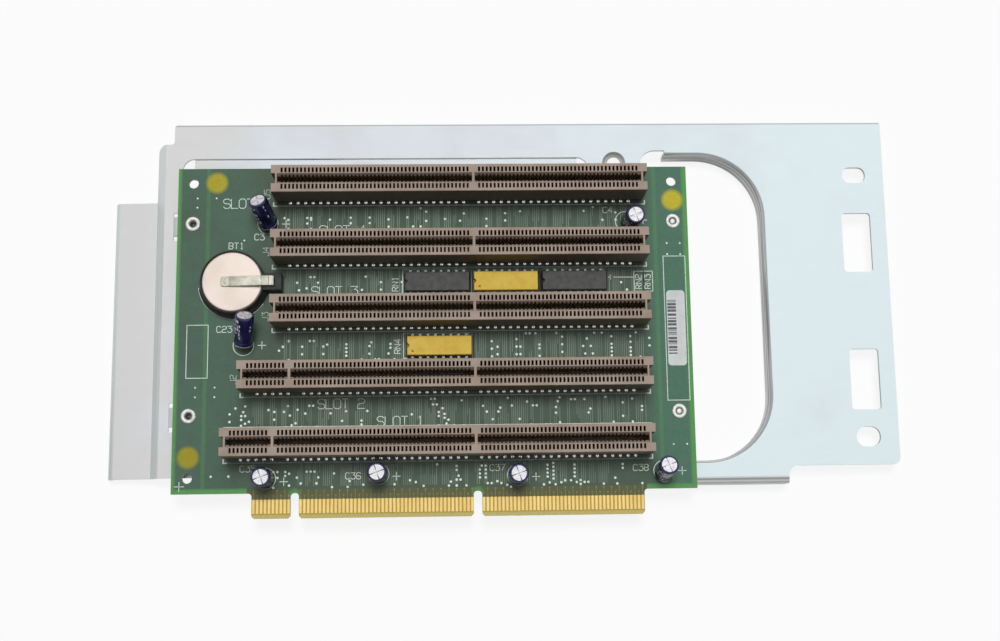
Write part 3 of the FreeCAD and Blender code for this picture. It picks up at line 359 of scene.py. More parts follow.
boardLook = {
    "plane": (0.0625, 0.126, 0.086), "deep": (0.054, 0.096, 0.061), "rightPlane": (0.066, 0.160, 0.103),
    "planeSpot": 26, "planeStops": (0.38, 0.6), "dense": (0.058, 0.094, 0.061), "denseEnds": (-131, -124, 1, 7),
    "edge": (0.098, 0.305, 0.088), "borders": (1.1, 1.6, -0.5, 1.5), "fade": 0.9,
    "strips": ((-143.0, 1.3), (7.6, 1.2)), "stripShare": 0.3, "stripFade": (0.3, 0.7),
    "rim": (0.26, 0.30, 0.13), "rimLevel": (0.3, 0.6),
    "tabEnds": (-128.6, 2.2), "tabRoot": -15.75,
    "stub": (0.098, 0.104, 0.036), "land": (0.56, 0.36, 0.07), "bevel": (0.68, 0.60, 0.215),
    "stubTop": -14.2, "stubFull": -15.4, "landTop": -17.7, "bevelTop": -22.4, "tip": -24.0,
    "landFade": 0.03, "bevelFade": 0.05,
    "halos": ((-53.4, -16.2), (-113.1, -16.2)), "halo": (1.2, 2.4), "haloShare": 0.75,
    "packs": 4, "shade": (0.006, 0.008, 0.006), "shadeReach": 0.6,
    # the brightness given for each fiducial is painted light and shade
    "fiducials": ((-140.2, 88.5, 1.0), (13.75, 81.75, 1.3), (-147.95, -3.9, 0.8)),  # place and brightness
    "spot": (0.43, 0.385, 0.026), "spotFade": (2.7, 4.1),
    "centre": (0.48, 0.35, 0.02), "centreFade": (0.68, 2.04), "centreShare": 0.7,
    "weave": 0.9, "weaveDark": (0.88, 0.88, 0.88), "weavePale": (1.0, 1.0, 1.0),
    "glossSpot": 3.0, "rough": (0.34, 0.46), "bumpSpot": 0.7, "bump": 0.12, "depth": 0.02,
}


def maskFinish():
    look = boardLook
    finish, tree, shader, place = startFinish("solderMask")
    low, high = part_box("circuit_board")
    split = splitNode(tree, place)
    alongX, alongY = split["X"], split["Y"]

    def boardX(x):
        return (zeroX + x) * mm

    def boardY(y):
        return (zeroY + y) * mm

    def within(axis, start, stop):
        past, short = sumNode(tree, "GREATER_THAN", axis, start), sumNode(tree, "LESS_THAN", axis, stop)
        return sumNode(tree, "MULTIPLY", past, short)

    def nearTo(x, y, share, fade):  # share at a place, fading to 0 round it
        ends = {0: place, 1: (boardX(x), boardY(y), boardFace * mm)}
        away = newNode(tree, "ShaderNodeVectorMath", ends, operation="DISTANCE")["Value"]
        return spreadNode(tree, away, share, 0, *(reach * mm for reach in fade))

    # brighter border past the copper plane, but not at the roots of the tabs
    onTab = within(alongX, *(boardX(x) for x in look["tabEnds"]))
    lower = sumNode(tree, "ADD", sumNode(tree, "SUBTRACT", alongY, boardY(look["tabRoot"])), onTab)
    gaps = [sumNode(tree, "SUBTRACT", *ends) for ends in ((alongX, low.x), (high.x, alongX), (high.y, alongY))]
    nearest = None
    for gap, border in zip(gaps + [lower], look["borders"]):
        gap = sumNode(tree, "SUBTRACT", gap, border * mm)
        nearest = sumNode(tree, "MINIMUM", nearest, gap) if nearest else gap
    inside = spreadNode(tree, nearest, 0, 1, -look["fade"] / 2 * mm, look["fade"] / 2 * mm)
    for middle, width in look["strips"]:  # splits in the copper plane
        off = sumNode(tree, "ABSOLUTE", sumNode(tree, "SUBTRACT", alongX, boardX(middle)), 0)
        fade = [width * part * mm for part in look["stripFade"]]
        clear = spreadNode(tree, off, 1 - look["stripShare"], 1, *fade)
        inside = sumNode(tree, "MINIMUM", inside, clear)
    # copper plane, brighter at the right and greyer where traces lie close
    planeStops = list(zip(look["planeStops"], (look["deep"], look["plane"])))
    plane = rampNode(tree, grainNode(tree, place, look["planeSpot"], 3), planeStops)
    ends = [boardX(x) for x in look["denseEnds"]]
    plane = mixNode(tree, spreadNode(tree, alongX, 0, 1, *ends[2:]), plane, look["rightPlane"])
    leftFade, rightFade = spreadNode(tree, alongX, 0, 1, *ends[:2]), spreadNode(tree, alongX, 1, 0, *ends[2:])
    plane = mixNode(tree, sumNode(tree, "MULTIPLY", leftFade, rightFade), plane, look["dense"])
    green = mixNode(tree, inside, look["edge"], plane)
    # tabs, from the stubs through the lands to the bevelled tip
    top, tip = look["stubTop"], look["tip"]
    down = spreadNode(tree, alongY, 0, 1, boardY(top), boardY(tip))
    levels = (look["stubFull"], look["landTop"], look["bevelTop"])
    full, land, bevel = [(level - top) / (tip - top) for level in levels]
    tab = rampNode(tree, down, [
        (0.0, look["dense"]), (full, look["stub"]), (land, look["stub"]),
        (land + look["landFade"], look["land"]), (bevel, look["land"]),
        (bevel + look["bevelFade"], look["bevel"])])
    belowTop = sumNode(tree, "LESS_THAN", alongY, boardY(top))
    whole = mixNode(tree, sumNode(tree, "MULTIPLY", onTab, belowTop), green, tab)
    for x, y in look["halos"]:  # no copper round the tops of the key notches
        whole = mixNode(tree, nearTo(x, y, look["haloShare"], look["halo"]), whole, look["edge"])
    for number in range(1, look["packs"] + 1):  # deep shade close round the packs
        (left, front, _), (right, rear, _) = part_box("resistor_pack_%d_body" % number)
        reach = look["shadeReach"] * mm
        across, deep = within(alongX, left - reach, right + reach), within(alongY, front - reach, rear + reach)
        whole = mixNode(tree, sumNode(tree, "MULTIPLY", across, deep), whole, look["shade"])
    # each fiducial's bare spot is made lighter or darker by its brightness: painted light and shade
    for x, y, bright in look["fiducials"]:  # bare laminate round the fiducials
        spot, centre = [tuple(tone * bright for tone in look[part]) for part in ("spot", "centre")]
        bare = mixNode(tree, nearTo(x, y, look["centreShare"], look["centreFade"]), spot, centre)
        whole = mixNode(tree, nearTo(x, y, 1, look["spotFade"]), whole, bare)
    # cut edge of the laminate, and its weave
    whole = mixNode(tree, spreadNode(tree, levelNode(tree, place), 0, 1, *look["rimLevel"]), look["rim"], whole)
    weaveStops = [(0.3, look["weaveDark"]), (0.7, look["weavePale"])]
    weave = rampNode(tree, grainNode(tree, place, look["weave"], 2), weaveStops)
    bumps = grainNode(tree, place, look["bumpSpot"], 2)
    feedNode(tree, shader, {
        "Base Color": mixNode(tree, 1.0, whole, weave, "MULTIPLY"),
        "Roughness": spreadNode(tree, grainNode(tree, place, look["glossSpot"], 2), *look["rough"]),
        "Normal": bumpNode(tree, bumps, look["bump"], look["depth"]),
    })
    return finish


nodeFinish("circuit_board", maskFinish())

fingerLook = {
    "runs": (42, 45, 10), "keyPlaces": 2, "shift": 0.6, "wide": 0.8, "soft": 0.06,
    "tones": [(0.83, 0.58, 0.18), (0.88, 0.64, 0.23), (0.91, 0.69, 0.28)], "spot": 4.0,
    "stretch": (1.0, 0.25, 1.0), "rough": (0.30, 0.40), "metal": 0.5, "bumpSpot": 0.6, "bump": 0.05,
}
goldFinish = makeFinish("goldFinger", fingerLook)


def contactColumns(runs, keyPlaces):  # places left of the first contact, run by run
    columns, place = [], 0
    for run in runs:
        columns.append([contactPitch * (place + step) for step in range(run)])
        place += run + keyPlaces
    return columns


def fingerPlaces():
    columns = contactColumns(fingerLook["runs"], fingerLook["keyPlaces"])
    return [fingerLook["shift"] - offset for run in columns for offset in run]


def buildFingers(node):
    look = fingerLook
    low, high = nodeBox(node)
    base, face = (low.z, high.z) if low.z > (boardRear + boardFace) / 2 else (high.z, low.z)
    pile = newPile()
    for x in fingerPlaces():
        left, right = zeroX + x - look["wide"] / 2, zeroX + x + look["wide"] / 2
        rings = []
        for inset, z in ((0, base), (0, (base + face) / 2), (look["soft"], face)):
            rings.append(levelRing(left + inset, right - inset, low.y + inset, high.y - inset, z))
        addLoft(pile, rings)
    setPiece(node.replace("contacts", "fingers"), pile, goldFinish, [node])


buildFingers("edge_contacts_front")
buildFingers("edge_contacts_back")
print("board finished")


# slot housings, with a pocket for every contact

slotLook = {
    "runs": {1: (42, 49, 10), 2: (42, 45, 10), 3: (42, 49), 4: (42, 49), 5: (42, 49)},  # from the right
    "keyPlaces": 2, "half": 4.55, "height": 14.0, "standOff": 1.3, "edge": 0.15,
    "mouth": 1.7, "gap": 0.9, "leadIn": 1.2, "cardFloor": 4.5,
    "pocketWide": 0.7, "pocketOut": 3.6, "pocketIn": 1.95, "pocketFloor": 5.2, "bridge": 0.6,
    "railPast": 1.35, "endWall": 0.6, "keyBar": 0.85, "footLength": 3.0, "footInset": 0.6,
    "tones": [(0.350, 0.272, 0.220), (0.400, 0.316, 0.262), (0.440, 0.350, 0.292)],
    # the darker side tone of the housings' upright faces is painted shade
    "side": (0.215, 0.165, 0.120), "spot": 9.0, "rough": (0.48, 0.62),
    "bumpSpot": 0.35, "bump": 0.12, "gloss": 0.35,
}
slotFinish = makeFinish("slotPlastic", slotLook)


def slotColumns(number):
    columns = contactColumns(slotLook["runs"][number], slotLook["keyPlaces"])
    return [[zeroX - offset for offset in run] for run in columns]


def slotMiddle(number):
    return zeroY + slotPitch * (number - 1)


def buildHousing(number):
    look = slotLook
    middle = slotMiddle(number)
    columns = slotColumns(number)[::-1]
    left, right = columns[0][-1] - slotEndReach, columns[-1][0] + slotEndReach
    base, top = boardFace + look["standOff"], boardFace + look["height"]
    floor, pocketFloor = boardFace + look["cardFloor"], boardFace + look["pocketFloor"]
    half, mouth, gap, edge = look["half"], look["mouth"], look["gap"], look["edge"]
    pocketOut, pocketIn = look["pocketOut"], look["pocketIn"]
    tooth, toothTop, leadIn = (mouth + gap) / 2, top - look["bridge"], top - look["leadIn"]
    # half sections of the outside, the card slot and a pocket
    outer = [(half, base), (half, top - edge), (half - edge, top), (pocketOut, top), (pocketIn, top),
             (mouth, top)]
    inner = [(mouth, top), (tooth, toothTop), (gap, leadIn), (gap, pocketFloor), (gap, floor)]
    hollow = [(pocketOut, top), (pocketIn, top), (pocketIn, toothTop), (tooth, toothTop), (gap, leadIn),
              (gap, pocketFloor), (pocketOut, pocketFloor)]
    pile = newPile()

    def strips(points, xa, xb, skip=()):  # faces along the slot, on both of its sides
        for index, ((ya, za), (yb, zb)) in enumerate(zip(points, points[1:])):
            if index in skip:
                continue
            for side in (-1, 1):
                a, b = middle + side * ya, middle + side * yb
                addFace(pile, [(xa, a, za), (xb, a, za), (xb, b, zb), (xa, b, zb)])

    def halfEnds(points, x):
        for side in (-1, 1):
            addFace(pile, [(x, middle + side * y, z) for y, z in points])

    def across(y, z, xa, xb):
        addFace(pile, levelRing(xa, xb, middle - y, middle + y, z))

    def wall(points, x):
        for (ya, za), (yb, zb) in zip(points, points[1:]):
            corners = [(middle - ya, za), (middle + ya, za), (middle + yb, zb), (middle - yb, zb)]
            addFace(pile, [(x, y, z) for y, z in corners])

    # rail ends past the end walls
    wallLeft, wallRight = left + look["railPast"], right - look["railPast"]
    for end, wallEnd in ((left, wallLeft), (right, wallRight)):
        rail = outer + [(mouth, base)]
        strips(rail + [(half, base)], end, wallEnd)
        halfEnds(rail, end)
        wall([(mouth, top), (mouth, base)], wallEnd)
    # walls and key bars
    bars = [(wallLeft, wallLeft + look["endWall"])]
    for run, after in zip(columns, columns[1:]):
        key = (run[0] + after[-1]) / 2
        bars.append((key - look["keyBar"] / 2, key + look["keyBar"] / 2))
    bars.append((wallRight - look["endWall"], wallRight))
    for xa, xb in bars:
        strips(outer, xa, xb)
        across(mouth, top, xa, xb)
        across(half, base, xa, xb)
    # card slot with its pockets
    wide = look["pocketWide"] / 2
    for index, run in enumerate(columns):
        start, stop = bars[index][1], bars[index + 1][0]
        wall(inner, start)
        wall(inner, stop)
        marks = [start]
        for x in run[::-1]:
            marks += [x - wide, x + wide]
        marks.append(stop)
        for step, (xa, xb) in enumerate(zip(marks, marks[1:])):
            isPocket = step % 2 == 1
            strips(outer, xa, xb, skip=(3,) if isPocket else ())
            strips(inner, xa, xb, skip=(1, 2) if isPocket else ())
            across(gap, floor, xa, xb)
            across(half, base, xa, xb)
            if isPocket:
                halfEnds(hollow, xa)
                halfEnds(hollow, xb)
                for corners in (hollow[1:4], hollow[5:], [hollow[-1], hollow[0]]):
                    strips(corners, xa, xb)
    # feet
    inset = half - look["footInset"]
    feet = [(wallLeft, wallLeft + look["footLength"]), (wallRight - look["footLength"], wallRight)]
    feet += [(xa - look["keyBar"] / 2, xb + look["keyBar"] / 2) for xa, xb in bars[1:-1]]
    for xa, xb in feet:
        addBlock(pile, (xa, middle - inset, boardFace), (xb, middle + inset, base))
    setPiece("slot_housing_%d" % number, pile, slotFinish, ["slot_%d" % number])


contactLook = {
    "path": [(2.95, 5.3), (2.7, 6.6), (1.5, 8.6), (0.78, 9.4), (1.15, 10.3), (1.95, 11.4), (2.3, 11.8)],
    "wide": 0.42, "thick": 0.2,
    "tones": [(0.14, 0.095, 0.040), (0.24, 0.165, 0.070), (0.18, 0.130, 0.070)], "spot": 2.0,
    "rough": (0.3, 0.5), "metal": 0.8, "bumpSpot": 0.3, "bump": 0.1,
}
contactFinish = makeFinish("springBronze", contactLook)


def buildContacts(number):
    look = contactLook
    middle = slotMiddle(number)
    line = [Vector(point) for point in look["path"]]
    faces = []  # both faces of the bent strip
    for point, normal in zip(line, pathNormals(line)):
        faces.append((point - normal * look["thick"] / 2, point + normal * look["thick"] / 2))
    pile = newPile()
    for x in [x for run in slotColumns(number) for x in run]:
        xa, xb = x - look["wide"] / 2, x + look["wide"] / 2
        for side in (-1, 1):
            rings = []
            for a, b in faces:
                corners = [(xa, a), (xb, a), (xb, b), (xa, b)]
                rings.append([(cx, middle + side * point.x, boardFace + point.y) for cx, point in corners])
            addLoft(pile, rings)
    setPiece("slot_contacts_%d" % number, pile, contactFinish)


for slotNumber in slotLook["runs"]:
    buildHousing(slotNumber)
    buildContacts(slotNumber)
print("slots built")


# solder at the slots, on both faces of the board

solderLook = {
    "outerRow": 4.87, "innerRow": 2.33, "sides": 8,
    "pad": [(0, -0.02), (0.64, -0.02), (0.62, 0.08), (0.51, 0.2), (0.34, 0.3), (0.18, 0.36), (0, 0.38)],
    "padSides": 12, "padDeep": 0.82, "padLean": 1.2,
    "joint": [(0, 0.02), (0.82, 0.02), (0.68, -0.16), (0.4, -0.5), (0.28, -1.05), (0.2, -1.25), (0, -1.28)],
    "tailIn": 4.0, "tailHalf": 0.2, "tailLow": 0.3, "tailHigh": 0.55,
    "tones": [(0.88, 0.88, 0.86), (0.94, 0.94, 0.92), (0.97, 0.97, 0.95)], "spot": 0.8,
    "rough": (0.12, 0.22), "metal": 0.9, "bumpSpot": 0.4, "bump": 0.05,
}
solderFinish = makeFinish("solderTin", solderLook)


def solderContact(x, middle, side, odd, front, rear, tails):
    look = solderLook
    y = middle + side * look["outerRow" if odd else "innerRow"]
    addTurned(rear, look["joint"], look["sides"], Matrix.Translation((x, y, boardRear)))
    if odd:  # the outer row shows in front of the housing, its pads drawn up towards the tails
        oval = Matrix.Diagonal((1.0, look["padDeep"], 1.0, 1.0))
        oval[1][2] = -side * look["padLean"]
        addTurned(front, look["pad"], look["padSides"], Matrix.Translation((x, y, boardFace)) @ oval)
        low, high = sorted((y, middle + side * look["tailIn"]))
        addBlock(tails, (x - look["tailHalf"], low, boardFace + look["tailLow"]),
                 (x + look["tailHalf"], high, boardFace + look["tailHigh"]))


def buildSolder():
    front, rear, tails = newPile(), newPile(), newPile()
    for number in slotLook["runs"]:
        for x in [x for run in slotColumns(number) for x in run]:
            odd = round((zeroX - x) / contactPitch) % 2 == 1
            for side in (-1, 1):
                solderContact(x, slotMiddle(number), side, odd, front, rear, tails)
    setPiece("slot_solder_front", front, solderFinish, smooth=50)
    setPiece("slot_solder_rear", rear, solderFinish, smooth=50)
    setPiece("slot_tails", tails, solderFinish)


buildSolder()
print("solder built")


# traces and plated holes

traceLook = {
    "seed": 4, "low": -0.02, "high": 0.025, "width": 0.24, "step": 0.635,
    "bands": ((69.6, 80.0, -117, 3), (47.9, 58.4, -117, 3), (26.3, 36.9, -117, 3), (4.8, 15.6, -127, 3),
              (-13.6, -6.1, -112, -10)),
    "buses": (2, 3, 4, 6, 9), "gaps": (1, 1, 2, 3), "through": 0.7, "fromLow": 0.85, "shortest": 3,
    "tones": [(0.108, 0.158, 0.112), (0.165, 0.210, 0.162), (0.215, 0.255, 0.200)], "spot": 5.0,
    "stretch": (1.0, 0.12, 1.0), "rough": (0.30, 0.42), "bumpSpot": 0.5, "bump": 0.1,
}
holeLook = {
    "radius": 0.41, "endRadius": 0.31, "low": -0.02, "high": 0.04, "sides": 10,
    "tones": [(0.60, 0.66, 0.58), (0.76, 0.81, 0.74), (0.88, 0.91, 0.85)], "spot": 0.7,
    "rough": (0.25, 0.4), "metal": 0.2, "bumpSpot": 0.3, "bump": 0.1,
    "rows": {  # columns of each row, in half contact steps from the first contact of slot 1
        125: (-113, -21), 123: (-110, -60, -26), 122: (-90, -68, -9), 120: (-185, -173, -171, -150, -140, -120),
        119: (-183, -171, -161, -130, -100, -78), 118: (-110, -92, -68, -16, -9), 117: (-173, -150, -140),
        115: (-130, -117, -113, -78), 114: (-183, -171), 88: (-171, -169, -142), 85: (-178, -167, -134, -123),
        84: (-7,), 82: (-173,), 81: (-177, -144, -134), 80: (-4,), 57: (-58, -56, -53, -42, -22, -18, 0),
        55: (-39, -13, -3), 54: (-182, -171, -169, -63, -26, 7), 53: (-139, -76), 52: (-162, -152, -129, -3),
        51: (-185, -175, -164, -140, -51, -39, -13), 50: (-152, -129, -73, -63, -61, -28, -24, 7),
        49: (-187, -76, -51, -13, -3), 48: (-152,), 47: (-175, -164, -140, -130, -39, -13, -3),
        46: (-152, -73, -63, -61, -27, -23), 45: (-76, -51, -13, -3), 44: (-182, -144, -137, -135, -127, 2),
        23: (-108, -106, -68, -41, -17), 22: (-92, -35, -33, -28, -3), 21: (-58, -42),
        20: (-204, -182, -171, -169, -107, -105, -8), 19: (-209, -81, -66, -55, -53),
        18: (-192, -177, -102, -72, -43, 2), 17: (-205, -189, -184, -152, -141, -25),
        16: (-212, -173, -160, -104, -79, -73, 2), 15: (-206, -204, -181, -118, -101, -43, -26), 14: (-104,),
        13: (-206, -189, -101, -8), 12: (-212, -202, -154, -144, -99, -76, -62), 11: (-204, -178),
        10: (-206, -180, -144, -100, -41, -13, -3),
        9: (-183, -175, -167, -104, -96, -91, -56, -48, -46, -19, 0), -11: (-105, -45),
        -12: (-95, -82, -80, -48, -34, -9), -13: (-45,),
        -14: (-189, -187, -183, -172, -170, -168, -95, -83, -80, -48, -34, -9), -15: (-181, -158, -45),
        -16: (-221, -212, -183, -83, -80, -48, -34), -17: (-187, -177, -166, -94, -45),
        -18: (-83, -80, -48, -34), -19: (-150, -119, -95, -93, -45, -13),
        -20: (-175, -167, -116, -98, -74, -39, -36, -31),
        -21: (-181, -143, -127, -79, -77, -72, -47, -41, -33, -29, -27),
        -22: (-189, -159, -151, -112, -99, -95, -90, -69, -50, -44, -31, -19, -12, 1), -23: (-67,),
    },
    "endRows": {  # smaller ones at the ends of the board
        131: (-231, -221), 126: (-231,), 108: (-206,), 105: (18, 25), 99: (18, 25), 30: (-230, -220),
        25: (-230, -220), -2: (18, 25),
    },
}
stubLook = {
    "rows": (-15.0, -16.6), "fingerTop": -17.6, "radius": 0.3, "width": 0.15, "sides": 8,
    "tones": [(0.18, 0.165, 0.065), (0.26, 0.235, 0.10), (0.32, 0.285, 0.13)], "spot": 1.5,
    "rough": (0.3, 0.42), "bumpSpot": 0.5, "bump": 0.1,
}
dice = random.Random(traceLook["seed"])


def faceLevels(look, face):
    if face > 0:
        return boardFace + look["low"], boardFace + look["high"]
    return boardRear - look["high"], boardRear - look["low"]


def layTraces():
    look = traceLook
    traces = newPile()
    for face in (1, -1):
        for low, high, start, stop in look["bands"]:
            x = start
            while x < stop:
                for line in range(dice.choice(look["buses"])):  # a bus of lines side by side
                    if x > stop:
                        break
                    kind = dice.random()
                    ends = [low, high]
                    if look["through"] <= kind < look["fromLow"]:
                        ends[1] = dice.uniform(low + look["shortest"], high)
                    elif kind >= look["fromLow"]:
                        ends[0] = dice.uniform(low, high - look["shortest"])
                    addRibbon(traces, [onBoard(x, y) for y in ends], look["width"], *faceLevels(look, face))
                    x += look["step"]
                x += look["step"] * dice.choice(look["gaps"])
    setPiece("copper_traces", traces, makeFinish("maskedTrace", look))


def drillHoles():
    look, step = holeLook, traceLook["step"]
    holes = newPile()
    for rows, radius in ((look["rows"], look["radius"]), (look["endRows"], look["endRadius"])):
        for column, row in [(column, row) for row, columns in rows.items() for column in columns]:
            x, y = onBoard(column * step, row * step)
            for face in (1, -1):
                addDot(holes, x, y, radius, *faceLevels(look, face), look["sides"])
    setPiece("plated_holes", holes, makeFinish("platedHole", look))


def layStubs():  # short lines from the fingers to two rows of small holes
    look = stubLook
    stubs = newPile()
    levels = faceLevels(traceLook, 1)
    for index, x in enumerate(fingerPlaces()):
        y = look["rows"][index % 2]
        addRibbon(stubs, [onBoard(x, look["fingerTop"]), onBoard(x, y)], look["width"], *levels)
        addDot(stubs, *onBoard(x, y), look["radius"], *levels, look["sides"])
    setPiece("finger_stubs", stubs, makeFinish("fingerStub", look))


layStubs()
layTraces()
drillHoles()
print("traces laid")


# capacitors

capacitorLook = {
    # slot behind, left of the first contact, in front of that slot, lean and heading
    "spots": {1: (5, 122.29, 12.6, 37, 115), 2: (5, 1.0, 12.2, 4, 0), 3: (3, 130.09, 10.0, 50, 81),
              4: (1, 122.7, 11.0, 0, 0), 5: (1, 85.8, 9.9, 0, 0), 6: (1, 40.3, 10.8, 0, 0),
              7: (1, -7.7, 11.0, 12, 83)},
    "radius": 3.15, "height": 11.0, "standOff": 0.4, "sides": 48,
    "sleeveFoot": [(-0.1, 0.55), (-0.02, 0.6), (0, 0.7), (0, 1.35), (-0.15, 1.65), (-0.19, 1.9),
                   (-0.15, 2.15), (0, 2.45)],
    "sleeveLip": [(0, -0.55), (-0.05, -0.3), (-0.2, -0.08), (-0.43, 0), (-0.7, -0.03), (-0.75, -0.14)],
    "canFoot": [(-0.85, 0.25), (-0.75, 0), (-0.35, 0), (-0.15, 0.1), (-0.07, 0.3), (-0.07, 0.56)],
    "canTop": [(-0.71, -0.3), (-0.71, -0.14)],
    "score": 0.03, "scoreTurn": 20, "quarter": 2.42, "quarterTurns": (4, 86, 10),
    "quarterLevels": (-0.2, -0.03), "wireGap": 2.5, "wire": 0.3, "wireSides": 12,
    "wireTop": 0.25, "wireFoot": -0.02,
}
printLook = {
    "seed": 7, "turns": (204, 218, 232, 246, 312), "start": 3.0, "stop": -1.2, "step": 1.5, "chance": 0.8,
    "drop": (0, 0.5), "sway": (-3, 3), "wide": (5, 11), "tall": (0.5, 1.1), "skin": (-0.03, 0.025), "steps": 4,
    "tones": [(0.45, 0.46, 0.62), (0.60, 0.62, 0.78), (0.70, 0.72, 0.85)], "spot": 1.0,
    "rough": (0.3, 0.45), "bumpSpot": 0.4, "bump": 0.1,
}
sleeveLook = {
    "tones": [(0.004, 0.004, 0.034), (0.008, 0.007, 0.056), (0.016, 0.014, 0.105)], "spot": 3.0,
    "rough": (0.20, 0.32), "gloss": 0.5, "bumpSpot": 0.8, "bump": 0.08, "coat": 0.1,
}
canLook = {
    "tones": [(0.60, 0.59, 0.63), (0.74, 0.73, 0.76), (0.84, 0.83, 0.85)], "spot": 0.9,
    "rough": (0.25, 0.42), "metal": 0.6, "bumpSpot": 0.25, "bump": 0.12,
}
wireLook = {
    "tones": [(0.55, 0.55, 0.53), (0.72, 0.72, 0.69), (0.82, 0.82, 0.79)], "spot": 0.8,
    "rough": (0.22, 0.4), "metal": 0.85, "bumpSpot": 0.3, "bump": 0.15,
}
sleeveFinish = makeFinish("navySleeve", sleeveLook)
canFinish = makeFinish("canAluminium", canLook)
printFinish = makeFinish("sleeveStripe", printLook)
wireFinish = makeFinish("tinnedWire", wireLook)
inkDice = random.Random(printLook["seed"])


def buildSleeve(label, place):  # pinched at the crimp near its foot, and turned in over the top
    look = capacitorLook
    sleeve = newPile()
    profile = turnedProfile(look["radius"], look["height"], look["sleeveFoot"], look["sleeveLip"])
    addTurned(sleeve, profile, look["sides"], place)
    setPiece(label + "_sleeve", sleeve, sleeveFinish, [label + "_can"], smooth=40)


def buildCan(label, place):  # bare foot of the can, and its bare top scored with a cross
    look = capacitorLook
    radius, height, gap = look["radius"], look["height"], look["score"]
    metal = newPile()
    addTurned(metal, turnedProfile(radius, height, look["canFoot"], []), look["sides"], place)
    addTurned(metal, turnedProfile(radius, height, [], look["canTop"]), look["sides"], place)
    low, high = [height + level for level in look["quarterLevels"]]
    outline = [(gap, gap)] + arcPoints(0, 0, look["quarter"], *look["quarterTurns"])
    for quarter in range(4):
        spin = Matrix.Rotation(math.radians(90 * quarter + look["scoreTurn"]), 4, "Z")
        addPrism(metal, outline, low, high, place @ spin)
    setPiece(label + "_can_metal", metal, canFinish)


def buildPrint(label, place):  # loose pale print on the sleeve
    look = printLook
    marks = newPile()
    inside, outside = [capacitorLook["radius"] + level for level in look["skin"]]
    z = look["start"]
    while z < capacitorLook["height"] + look["stop"]:
        for turn in look["turns"]:
            if inkDice.random() < look["chance"]:
                low = z + inkDice.uniform(*look["drop"])
                middle = turn + inkDice.uniform(*look["sway"])
                wide = inkDice.uniform(*look["wide"])
                high = low + inkDice.uniform(*look["tall"])
                section = [(inside, low), (outside, low), (outside, high), (inside, high)]
                addSwept(marks, section, middle - wide / 2, middle + wide / 2, look["steps"], place)
        z += look["step"]
    setPiece(label + "_print", marks, printFinish, smooth=40)


def buildWires(label, place, hinge):  # round wires from the can straight down into the board
    look = capacitorLook
    wires = newPile()
    ring = [Vector((x, y, 0)) for x, y in arcPoints(0, 0, look["wire"], 0, 360, look["wireSides"])[:-1]]
    for side in (-1, 1):
        start = place @ (hinge * side * look["wireGap"] / 2 + Vector((0, 0, look["wireTop"])))
        foot = Vector((start.x, start.y, boardFace + look["wireFoot"]))
        addLoft(wires, [[end + offset for offset in ring] for end in (foot, start)])
        onFace = Matrix.Translation((foot.x, foot.y, boardFace))
        addTurned(wires, solderLook["pad"], solderLook["padSides"], onFace)
    setPiece(label + "_wires", wires, wireFinish, [label + "_leads"], smooth=40)


for capacitorNumber, (slotBehind, leftOf, below, lean, heading) in capacitorLook["spots"].items():
    lean, heading = math.radians(lean), math.radians(heading)
    lift = capacitorLook["standOff"] + capacitorLook["radius"] * math.sin(lean)
    foot = Vector((zeroX - leftOf, slotMiddle(slotBehind) - below, boardFace + lift))
    hinge = Vector((-math.sin(heading), math.cos(heading), 0))
    standing = Matrix.Translation(foot) @ Matrix.Rotation(lean, 4, hinge)
    capacitorLabel = "capacitor_%d" % capacitorNumber
    buildSleeve(capacitorLabel, standing)
    buildCan(capacitorLabel, standing)
    buildPrint(capacitorLabel, standing)
    buildWires(capacitorLabel, standing, hinge)
print("capacitors built")


# coin cell in its holder

cellLook = {
    "crown": 0.02, "foot": [(-1.6, 0.0), (-1.3, 0.25), (-0.45, 0.4), (-0.1, 0.7), (0, 1.0)],
    "shoulder": [(0, -0.55), (-0.08, -0.3), (-0.25, -0.1), (-0.5, -0.01), (-0.9, 0)], "sides": 96,
    # the warm tint of these tones is a painted reflection of warm light on the steel
    "tones": [(0.76, 0.65, 0.565), (0.82, 0.70, 0.615), (0.86, 0.74, 0.665)], "spot": 9.0,
    "rough": (0.30, 0.38), "metal": 0.5, "bumpSpot": 0.6, "bump": 0.02,
}
holderLook = {
    "wall": 10.55, "play": 0.15, "floor": 1.2, "soft": 0.2, "sides": 96,
    "rim": [(-0.08, -0.05), (-0.2, 0)], "mouth": [(0.05, 0), (0, -0.1)],
    "flange": 11.5, "flangeTop": 2.2, "flangeRise": 0.6, "flangeTurns": (190, 352, 48), "overlap": 0.1,
    "blockIn": 0.2, "blockHalf": 2.9, "blockEdge": 0.06,
    "tones": [(0.014, 0.014, 0.014), (0.024, 0.024, 0.023), (0.036, 0.036, 0.035)], "spot": 4.0,
    "rough": (0.38, 0.52), "gloss": 0.45, "bumpSpot": 0.3, "bump": 0.2,
}
